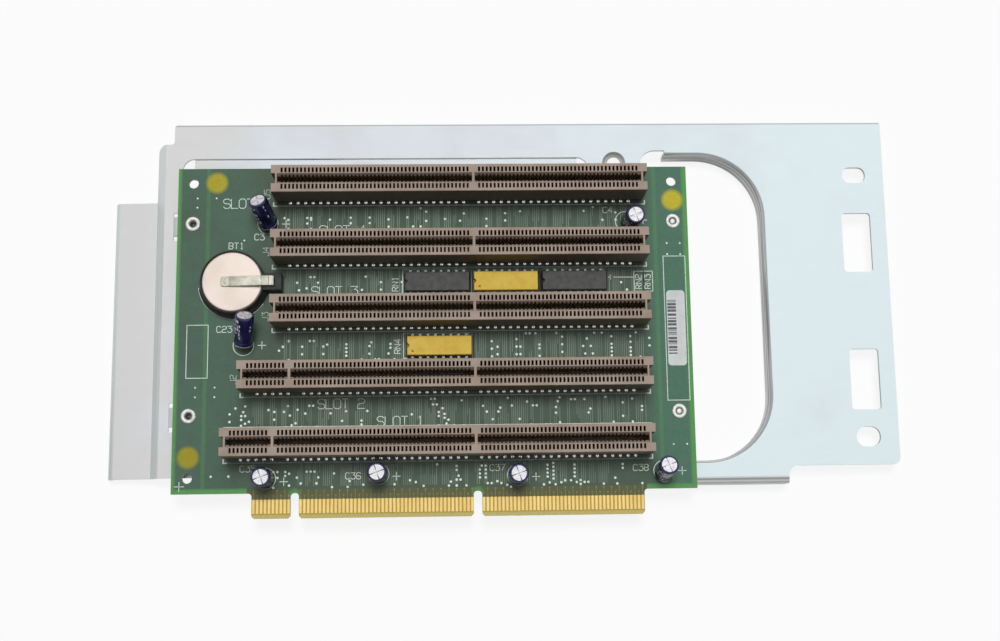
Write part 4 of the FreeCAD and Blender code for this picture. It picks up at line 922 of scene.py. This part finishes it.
clipLook = {
    "thick": 0.4, "soft": 0.09, "legIn": 0.2,
    # creased run from the leg, measured from its end and top
    "run": [(-0.2, -0.7), (-0.35, -0.25), (-0.8, 0), (-1.6, 0), (-1.8, -0.14), (-2.0, 0), (-4.2, 0),
            (-4.4, -0.14), (-4.7, -0.04)],
    # toe on the cell, with its share of the width
    "toe": [(3.2, 0.68, 1), (2.95, 0.5, 1), (2.6, 0.55, 1), (1.6, 0.24, 1), (0.9, 0.35, 1), (0.6, 0.46, 0.95),
            (0.35, 0.56, 0.82), (0.2, 0.62, 0.62)],
    "dimple": [(0, -0.1), (0.95, -0.1), (0.85, 0.08), (0.5, 0.17), (0, 0.2)], "dimpleSides": 24,
    "dimpleIn": 1.7, "dimpleUp": 0.38,
    "tones": [(0.46, 0.45, 0.37), (0.60, 0.58, 0.49), (0.70, 0.69, 0.58)],
    # the darker side tone of the clip's edges is painted shade
    "side": (0.12, 0.11, 0.09), "spot": 1.6, "stretch": (0.5, 0.6, 1.0), "rough": (0.2, 0.34), "metal": 0.6,
    "bumpSpot": 0.5, "bump": 0.08,
}
clipFinish = makeFinish("clipSteel", clipLook)
nodeFinish("battery_base_contact", clipFinish)
cellLow, cellHigh = nodeBox("coin_cell")
cellMiddle = (cellLow + cellHigh) / 2
cellRadius = (cellHigh.x - cellLow.x) / 2


def buildCell():
    look = cellLook
    place = Matrix.Translation((cellMiddle.x, cellMiddle.y, cellLow.z))
    profile = turnedProfile(cellRadius, cellHigh.z - cellLow.z, look["foot"], look["shoulder"])
    profile[0] = (0, look["crown"])
    can = newPile()
    addTurned(can, profile, look["sides"], place)
    setPiece("cell_can", can, makeFinish("cellSteel", look), ["coin_cell"], smooth=35)


def buildHolder():
    look = holderLook
    low, high = nodeBox("battery_holder")
    bowl = cellRadius + look["play"]
    tall, soft, wall = high.z - low.z, look["soft"], look["wall"]
    place = Matrix.Translation((cellMiddle.x, cellMiddle.y, low.z))
    cup = newPile()
    profile = [(0, 0), (wall, 0), (wall, tall - soft)]
    profile += [(wall + out, tall + up) for out, up in look["rim"]]
    profile += [(bowl + out, tall + up) for out, up in look["mouth"]]
    profile += [(bowl, look["floor"]), (0, look["floor"])]
    addTurned(cup, profile, look["sides"], place)
    # flange round the lower half
    outside, top, overlap = look["flange"], look["flangeTop"], look["overlap"]
    crest = top + look["flangeRise"]
    section = [(wall - overlap, 0), (outside, 0), (outside, top - soft), (outside - soft, top),
               (wall + overlap, crest), (wall - overlap, crest)]
    addSwept(cup, section, *look["flangeTurns"], place)
    # block for the leg of the clip
    left, edge = cellMiddle.x + bowl + look["blockIn"], look["blockEdge"]
    rings = []
    for inset, z in ((0, low.z), (0, high.z - soft), (edge, high.z - edge), (soft, high.z)):
        right, half = high.x - inset, look["blockHalf"] - inset
        front, rear = cellMiddle.y - half, cellMiddle.y + half
        outline = [(left, front), (right - soft, front), (right, front + soft), (right, rear - soft),
                   (right - soft, rear), (left, rear)]
        rings.append([(x, y, z) for x, y in outline])
    addLoft(cup, rings)
    finish = makeFinish("holderPlastic", look)
    setPiece("holder_cup", cup, finish, ["battery_holder"], smooth=35)


def buildClip():
    look = clipLook
    low, high = nodeBox("battery_clip")
    middle, half = (low.y + high.y) / 2, (high.y - low.y) / 2
    thick, soft = look["thick"], look["soft"]
    flat = high.z - thick / 2
    path = [(high.x - look["legIn"], low.z, 1)]
    path += [(high.x + x, flat + z, 1) for x, z in look["run"]]
    path += [(low.x + x, cellHigh.z + z, share) for x, z, share in look["toe"]]
    line = [Vector((x, z)) for x, z, share in path]
    rings = []
    for point, normal, (_, _, share) in zip(line, pathNormals(line), path):
        wide = half * share
        normal = normal * thick / 2
        section = [(-wide + soft, 1), (wide - soft, 1), (wide, 0.5), (wide, -0.5),
                   (wide - soft, -1), (-wide + soft, -1), (-wide, -0.5), (-wide, 0.5)]
        rings.append([(point.x + normal.x * up, middle + y, point.y + normal.y * up) for y, up in section])
    spring, dimple = newPile(), newPile()
    addLoft(spring, rings)
    setPiece("clip_spring", spring, clipFinish, ["battery_clip"], smooth=35)
    place = Matrix.Translation((low.x + look["dimpleIn"], middle, cellHigh.z + look["dimpleUp"]))
    addTurned(dimple, look["dimple"], look["dimpleSides"], place)
    setPiece("clip_dimple", dimple, clipFinish, smooth=60)


buildHolder()
buildCell()
buildClip()
print("coin cell built")


# resistor packs

packLook = {
    "edge": 0.22, "taper": 0.25, "endTaper": 0.6, "corner": 0.25,
    "notch": 0.8, "notchSteps": (-1, -0.7, 0, 0.7, 1), "dotPlace": (2.0, 1.6), "dotRadius": 0.42,
    "dotLevels": (-0.05, 0.02), "dotSides": 16,
}
darkLook = {
    # the darker side tone of the pack's upright faces is painted shade
    "tones": [(0.055, 0.056, 0.055), (0.070, 0.071, 0.068), (0.084, 0.085, 0.081)], "side": (0.03, 0.03, 0.03),
    "spot": 2.0, "rough": (0.42, 0.56), "gloss": 0.45, "bumpSpot": 0.2, "bump": 0.2,
}
ochreLook = {
    # the darker side tone of the pack's upright faces is painted shade
    "tones": [(0.64, 0.440, 0.066), (0.69, 0.482, 0.082), (0.72, 0.512, 0.104)], "side": (0.30, 0.19, 0.02),
    "spot": 3.0, "rough": (0.38, 0.5), "bumpSpot": 0.25, "bump": 0.18,
}
leadLook = {
    "tones": [(0.30, 0.30, 0.27), (0.42, 0.42, 0.38), (0.52, 0.52, 0.47)], "spot": 0.8,
    "rough": (0.28, 0.42), "metal": 0.5, "bumpSpot": 0.3, "bump": 0.15,
}
dotLook = {
    "tones": [(0.22, 0.15, 0.03), (0.30, 0.21, 0.05)], "spot": 0.6, "rough": (0.45, 0.6),
    "bumpSpot": 0.2, "bump": 0.1,
}
darkFinish = makeFinish("darkPack", darkLook)
ochreFinish = makeFinish("ochrePack", ochreLook)
leadFinish = makeFinish("packLead", leadLook)


def buildPack(number, finish):
    look = packLook
    low, high = nodeBox("resistor_pack_%d_body" % number)
    edge, taper, soft, notch = look["edge"], look["taper"], look["corner"], look["notch"]
    parting, middle = (low.z + high.z) / 2, (low.y + high.y) / 2
    rings = []
    levels = [(taper + edge, low.z), (taper, low.z + edge), (0, parting), (taper, high.z - edge),
              (taper + edge, high.z)]
    for inset, z in levels:
        left, right = low.x + inset * look["endTaper"], high.x - inset * look["endTaper"]
        front, rear = low.y + inset, high.y - inset
        outline = [(left + soft, front), (right - soft, front), (right, front + soft), (right, rear - soft),
                   (right - soft, rear), (left + soft, rear), (left, rear - soft)]
        deep = notch if z > parting else 0  # notch in the upper half of the left end
        for step in look["notchSteps"]:
            outline.append((left + deep * (1 - abs(step)) ** 0.5, middle - step * notch))
        outline.append((left, front + soft))
        rings.append([(x, y, z) for x, y in outline])
    pile = newPile()
    addLoft(pile, rings)
    setPiece("pack_%d_moulding" % number, pile, finish, ["resistor_pack_%d_body" % number])
    nodeFinish("resistor_pack_%d_leads" % number, leadFinish)


dots = newPile()
for packNumber in (1, 3):
    buildPack(packNumber, darkFinish)
for packNumber in (2, 4):
    buildPack(packNumber, ochreFinish)
    packLow, packHigh = nodeBox("resistor_pack_%d_body" % packNumber)
    dotX, dotY = packLook["dotPlace"]
    dotLevels = [packHigh.z + level for level in packLook["dotLevels"]]
    dotRadius, dotSides = packLook["dotRadius"], packLook["dotSides"]
    addDot(dots, packLow.x + dotX, packLow.y + dotY, dotRadius, *dotLevels, dotSides)
setPiece("pack_dots", dots, makeFinish("packDot", dotLook))
print("packs built")


# eyelets and label

eyeletLook = {
    "profile": [(1.05, -3.1), (1.45, -3.25), (2.1, -3.15), (2.35, -2.9), (2.3, -2.8), (1.6, -2.8),
                (1.6, 0.0), (2.46, 0.0), (2.48, 0.14), (2.28, 0.36), (1.85, 0.48), (1.5, 0.42), (1.2, 0.2),
                (1.05, -0.2), (1.05, -3.1)],
    "reach": 2.5, "shadeDisc": 1.04, "shadeDiscLevels": (-3.0, -2.2), "pin": 0.84, "pinFoot": -2.3,
    "pinSoft": (-0.14, 0.1), "deepPin": -1.9, "levelPin": -0.05, "sides": 40, "pinSides": 32,
    "tones": [(0.58, 0.58, 0.55), (0.76, 0.76, 0.72), (0.84, 0.84, 0.80)], "spot": 1.0,
    "rough": (0.25, 0.42), "metal": 0.75, "bumpSpot": 0.4, "bump": 0.15,
}
# painted shade: dark tone for the discs and pin ends deep in the eyelets
holeShadeLook = {
    "tones": [(0.05, 0.05, 0.05), (0.09, 0.09, 0.085), (0.13, 0.13, 0.12)], "spot": 0.8,
    "rough": (0.35, 0.5), "metal": 0.5, "bumpSpot": 0.3, "bump": 0.15,
}
labelLook = {
    "corner": 1.2, "cornerSteps": 6, "barsFrom": 3.9, "barsTo": 3.5, "barsLeft": 0.25, "barsWide": 2.9,
    "ink": 0.02, "seed": 11, "bars": (0.25, 0.45, 0.8), "gaps": (0.28, 0.35, 0.6),
    "tones": [(0.65, 0.69, 0.68), (0.71, 0.745, 0.735), (0.75, 0.78, 0.77)], "spot": 4.0,
    "rough": (0.6, 0.75), "bumpSpot": 0.25, "bump": 0.15,
}
inkLook = {
    "tones": [(0.10, 0.095, 0.12), (0.16, 0.15, 0.18)], "spot": 0.5, "rough": (0.55, 0.7),
    "bumpSpot": 0.2, "bump": 0.1,
}


def buildEyelets():
    look = eyeletLook
    low, high = nodeBox("eyelets")
    reach, pin, foot = look["reach"], look["pin"], look["pinFoot"]
    softOut, softUp = look["pinSoft"]
    shadeDiscLevels = [boardFace + level for level in look["shadeDiscLevels"]]
    rings, pins, holeShades = newPile(), newPile(), newPile()
    # pin ends inside, deep at the left and nearly level at the right; the deep ones, and discs deep in every
    # eyelet, take a dark tone as painted shade in the holes
    for x, top, pile in ((low.x + reach, look["deepPin"], holeShades), (high.x - reach, look["levelPin"], pins)):
        for y in (low.y + reach, high.y - reach):
            place = Matrix.Translation((x, y, boardFace))
            addTurned(rings, look["profile"], look["sides"], place)
            # dark disc closing the eyelet's tube: painted shade in the hole
            addDot(holeShades, x, y, look["shadeDisc"], *shadeDiscLevels, look["pinSides"])
            profile = [(0, foot), (pin, foot), (pin, top), (pin + softOut, top + softUp), (0, top + softUp)]
            addTurned(pile, profile, look["pinSides"], place)
    ringFinish = makeFinish("eyeletTin", look)
    setPiece("eyelet_rings", rings, ringFinish, ["eyelets"], smooth=50)
    setPiece("eyelet_pins", pins, ringFinish, smooth=50)
    setPiece("eyelet_hole_shades", holeShades, makeFinish("eyeletHoleShade", holeShadeLook), smooth=50)


def buildLabel():
    look = labelLook
    low, high = nodeBox("label")
    soft, ink = look["corner"], look["ink"]
    left, right, front, rear = low.x + soft, high.x - soft, low.y + soft, high.y - soft
    outline = []
    for quarter, (x, y) in enumerate(((right, rear), (left, rear), (left, front), (right, front))):
        outline += arcPoints(x, y, soft, 90 * quarter, 90 * quarter + 90, look["cornerSteps"])
    sheet, bars = newPile(), newPile()
    addPrism(sheet, outline, low.z, high.z - ink)
    setPiece("label_sheet", sheet, makeFinish("labelPaper", look), ["label"])
    shuffle = random.Random(look["seed"])  # bars that encode nothing
    start = low.x + look["barsLeft"]
    y = low.y + look["barsFrom"]
    while y < high.y - look["barsTo"]:
        wide = shuffle.choice(look["bars"])
        addBlock(bars, (start, y, high.z - 2 * ink), (start + look["barsWide"], y + wide, high.z))
        y += wide + shuffle.choice(look["gaps"])
    setPiece("label_bars", bars, makeFinish("labelInk", inkLook))


buildEyelets()
buildLabel()
print("eyelets and label built")


# white marks on the board

silkLook = {
    "low": -0.02, "high": 0.045, "line": 0.26, "fine": 0.25, "faint": 0.13, "broad": 0.44,
    "tones": [(0.60, 0.70, 0.61), (0.74, 0.82, 0.75), (0.82, 0.88, 0.82)], "spot": 1.2,
    "rough": (0.5, 0.65), "bumpSpot": 0.3, "bump": 0.15,
}
silk = newPile()
strokes = {  # points of each stroke, across then up, on a grid 4 wide and 6 high
    "S": ["45 36 16 05 04 13 33 42 41 30 10 01"], "L": ["06 00 40"], "O": ["10 01 05 16 36 45 41 30 10"],
    "T": ["06 46", "26 20"], "C": ["45 36 16 05 01 10 30 41"], "R": ["00 06 36 45 44 33 03", "23 40"],
    "N": ["00 06 40 46"], "B": ["00 06 36 45 44 33 42 41 30 00", "03 33"], "J": ["46 41 30 10 01"],
    "1": ["15 26 20", "10 30"], "2": ["05 16 36 45 44 33 13 02 00 40"], "3": ["06 46 24 34 43 41 30 10 01"],
    "4": ["30 36 02 42"], "5": ["46 06 04 34 43 41 30 00"], "6": ["45 36 16 05 01 10 30 41 42 33 03"],
    "7": ["06 46 10"], "8": ["13 04 05 16 36 45 44 33 13 02 01 10 30 41 42 33"],
}
letterLook = {  # height, width, advance, line
    "slot": (3.2, 2.3, 2.62, "fine"), "part": (2.05, 1.4, 1.8, "fine"),
    "turned": (2.0, 1.3, 1.75, "fine"), "turnedFaint": (2.0, 1.3, 1.75, "faint"),
}


def drawLine(path, line="line"):
    levels = boardFace + silkLook["low"], boardFace + silkLook["high"]
    addRibbon(silk, [onBoard(x, y) for x, y in path], silkLook[line], *levels)


def drawText(kind, text, x, y):
    height, wide, advance, line = letterLook[kind]
    for index, letter in enumerate(text):
        for stroke in strokes.get(letter, []):
            path = []
            for across, up in stroke.split():
                dx, dy = index * advance + int(across) * wide / 4, int(up) * height / 6
                path.append((x - dy, y + dx) if kind.startswith("turned") else (x + dx, y + dy))
            drawLine(path, line)


def drawPlus(x, y, arm):
    drawLine([(x - arm, y), (x + arm, y)], "fine")
    drawLine([(x, y - arm), (x, y + arm)], "fine")


def drawArc(x, y, radius, start, stop, steps):
    drawLine(arcPoints(x, y, radius, start, stop, steps), "fine")


markLook = {
    "slot": (("SLOT 1", -86.3, 5.7), ("SLOT 2", -105.8, 11.65), ("SLOT 3", -108.2, 49.4),
             ("SLOT 4", -105.7, 70.3), ("SLOT 5", -138.0, 79.7)),
    "part": (("C3", -127.35, 68.7), ("C4", -9.95, 77.35), ("C23", -139.4, 37.4), ("C35", -130.9, -8.8),
             ("C36", -96.6, -11.45), ("C37", -49.4, -9.3), ("C38", -2.25, -9.85), ("BT1", -135.9, 65.7)),
    "turned": (("RN1", -79.3, 50.9), ("RN4", -78.6, 29.8), ("RN2", 2.45, 51.1), ("RN3", 5.5, 51.1)),
    "turnedFaint": (("J2", -132.7, 20.1), ("J3", -122.5, 41.0), ("J4", -122.6, 63.2), ("J5", -122.4, 83.0)),
    "plus": {1.35: ((-116.95, 74.15), (-124.4, 32.95), (-116.65, -12.05), (-80.0, -10.7), (-34.3, -11.35),
                    (13.9, -10.0), (3.6, 74.75)),
             1.6: ((-150.55, -13.3),), 0.8: ((-8.0, 55.1),)},  # places for each length of arm
    "boxes": ((-149.2, 22.2, -142.2, 39.9), (10.0, 13.3, 17.4, 62.2), (-0.05, 50.2, 3.25, 57.05),
              (3.25, 50.2, 6.2, 57.05), (-77.6, 28.2, -56.1, 36.55)),
    "packEnds": ((-57.0, -77.85), (-31.0, -10.4)), "packRows": (50.0, 58.3),
    "packLine": ((-8.0, 55.1), (-0.05, 55.05)), "circle": (3.4, 0, 360, 40),
    "circles": ((-123.0, 74.2), (-2.4, 74.4), (-130.5, 33.0), (-122.7, -11.0), (-85.8, -9.9), (-40.3, -10.8),
                (7.9, -10.0)),
    "slotEnds": {1: (-136.4, 4.25), 2: (-131.3, 4.25), 3: (-121.1, 4.25), 4: (-121.3, 4.25), 5: (-121.2, 4.3)},
    "slotOutline": (4.45, 5.85), "cellArc": (11.8, 186, 326, 60),
}


def drawMarks():
    look = markLook
    for kind in letterLook:
        for text, x, y in look[kind]:
            drawText(kind, text, x, y)
    for arm, places in look["plus"].items():
        for x, y in places:
            drawPlus(x, y, arm)
    for left, low, right, high in look["boxes"]:
        drawLine([(left, low), (right, low), (right, high), (left, high), (left, low)])
    low, high = look["packRows"]
    for start, stop in look["packEnds"]:
        drawLine([(start, high), (stop, high), (stop, low), (start, low)])
    drawLine(look["packLine"], "fine")
    for x, y in look["circles"]:
        drawArc(x, y, *look["circle"])
    for number, (left, right) in look["slotEnds"].items():
        for side, line in ((-1, "broad"), (1, "fine")):
            near, far = [slotPitch * (number - 1) + side * offset for offset in look["slotOutline"]]
            drawLine([(left, near), (left, far), (right, far), (right, near)], line)
    drawArc(cellMiddle.x - zeroX, cellMiddle.y - zeroY, *look["cellArc"])  # round the holder of the cell
    setPiece("silk_marks", silk, makeFinish("silkInk", silkLook))


drawMarks()
print("marks drawn")


# floor, light and camera

stageLook = {
    "floor": (0.9, 0.9, 0.9), "floorDark": (0.8865, 0.8865, 0.8865), "floorSpot": 60, "show": 0.88,
    "reach": 30000, "below": -0.05, "sky": (0.975, 0.99, 1.0), "from": (0.10, 0.36, 0.93), "horizon": 0.05,
    "overhead": 1.45, "fill": 0.10, "boxPower": 68.5, "boxSize": 1.1, "boxAway": 3.0, "boxTilt": 16.5,
}


def seenNode(tree):  # 1 for what the camera sees, straight or mirrored
    ray = newNode(tree, "ShaderNodeLightPath", {})
    seen = sumNode(tree, "MAXIMUM", ray["Is Camera Ray"], ray["Is Glossy Ray"])
    return sumNode(tree, "MAXIMUM", seen, ray["Is Transmission Ray"])


def buildFloor():
    look = stageLook
    finish, tree, shader, place = startFinish("studioFloor")
    tree.nodes.remove(shader)
    stops = [(0.3, look["floorDark"]), (0.7, look["floor"])]
    paper = rampNode(tree, grainNode(tree, place, look["floorSpot"], 2), stops)
    matt = newNode(tree, "ShaderNodeBsdfDiffuse", {"Color": paper})[0]
    glow = newNode(tree, "ShaderNodeEmission", {})[0]
    shown = sumNode(tree, "MULTIPLY", seenNode(tree), look["show"])
    mixed = newNode(tree, "ShaderNodeMixShader", {0: shown, 1: matt, 2: glow})[0]
    feedNode(tree, tree.nodes["Material Output"], {"Surface": mixed})
    far = look["reach"]
    corners = [Vector(corner) * mm for corner in levelRing(-far, far, -far, far, look["below"])]
    mesh = bpy.data.meshes.new("studio_floor")
    mesh.from_pydata(corners, [], [(0, 1, 2, 3)])
    mesh.materials.append(finish)
    ground = bpy.data.objects.new("studio_floor", mesh)
    bpy.context.scene.collection.objects.link(ground)


def buildSky():  # wide soft light from above, fading to the horizon
    look = stageLook
    world = bpy.data.worlds.new("studio")
    world.use_nodes = True
    tree = world.node_tree
    way = newNode(tree, "ShaderNodeTexCoord", {})["Generated"]
    facing = newNode(tree, "ShaderNodeVectorMath", {0: way, 1: look["from"]}, operation="DOT_PRODUCT")["Value"]
    strength = spreadNode(tree, facing, look["horizon"], look["overhead"], 0, 1)
    # matt pieces are lit mostly by the soft box
    share = spreadNode(tree, seenNode(tree), look["fill"], 1, 0, 1)
    sky = {"Color": look["sky"], "Strength": sumNode(tree, "MULTIPLY", strength, share)}
    feedNode(tree, tree.nodes["Background"], sky)
    bpy.context.scene.world = world


def buildSoftBox():
    look = stageLook
    lamp = bpy.data.lights.new("softBox", "AREA")
    lamp.energy = look["boxPower"]
    lamp.shape = "DISK"
    lamp.size = look["boxSize"]
    box = bpy.data.objects.new("softBox", lamp)
    tilt = math.radians(look["boxTilt"])
    box.location = (0, look["boxAway"] * math.sin(tilt), look["boxAway"] * math.cos(tilt))
    box.rotation_euler = (-tilt, 0, 0)
    box.visible_glossy = False
    bpy.context.scene.collection.objects.link(box)


cameraLook = {
    "place": (-60.1, -35.1), "height": 459.0, "look": (0.0324, 0.1669, -0.9854),
    "right": (0.9994, -0.014, 0.0305), "lens": 48.89, "sensor": 36, "clip": 0.01,
}


def buildCamera():
    look = cameraLook
    back = -Vector(look["look"]).normalized()
    right = Vector(look["right"])
    right = (right - back * right.dot(back)).normalized()
    turned = Matrix((right, back.cross(right), back)).transposed().to_4x4()
    lens = bpy.data.cameras.new("camera")
    lens.sensor_fit = "HORIZONTAL"
    lens.sensor_width = look["sensor"]
    lens.lens = look["lens"]
    lens.clip_start = look["clip"]
    camera = bpy.data.objects.new("camera", lens)
    camera.matrix_world = Matrix.Translation(Vector((*onBoard(*look["place"]), look["height"])) * mm) @ turned
    bpy.context.scene.collection.objects.link(camera)
    bpy.context.scene.camera = camera


buildFloor()
buildSky()
buildSoftBox()
buildCamera()
bpy.context.scene.view_settings.view_transform = "Standard"
print("stage and camera set")
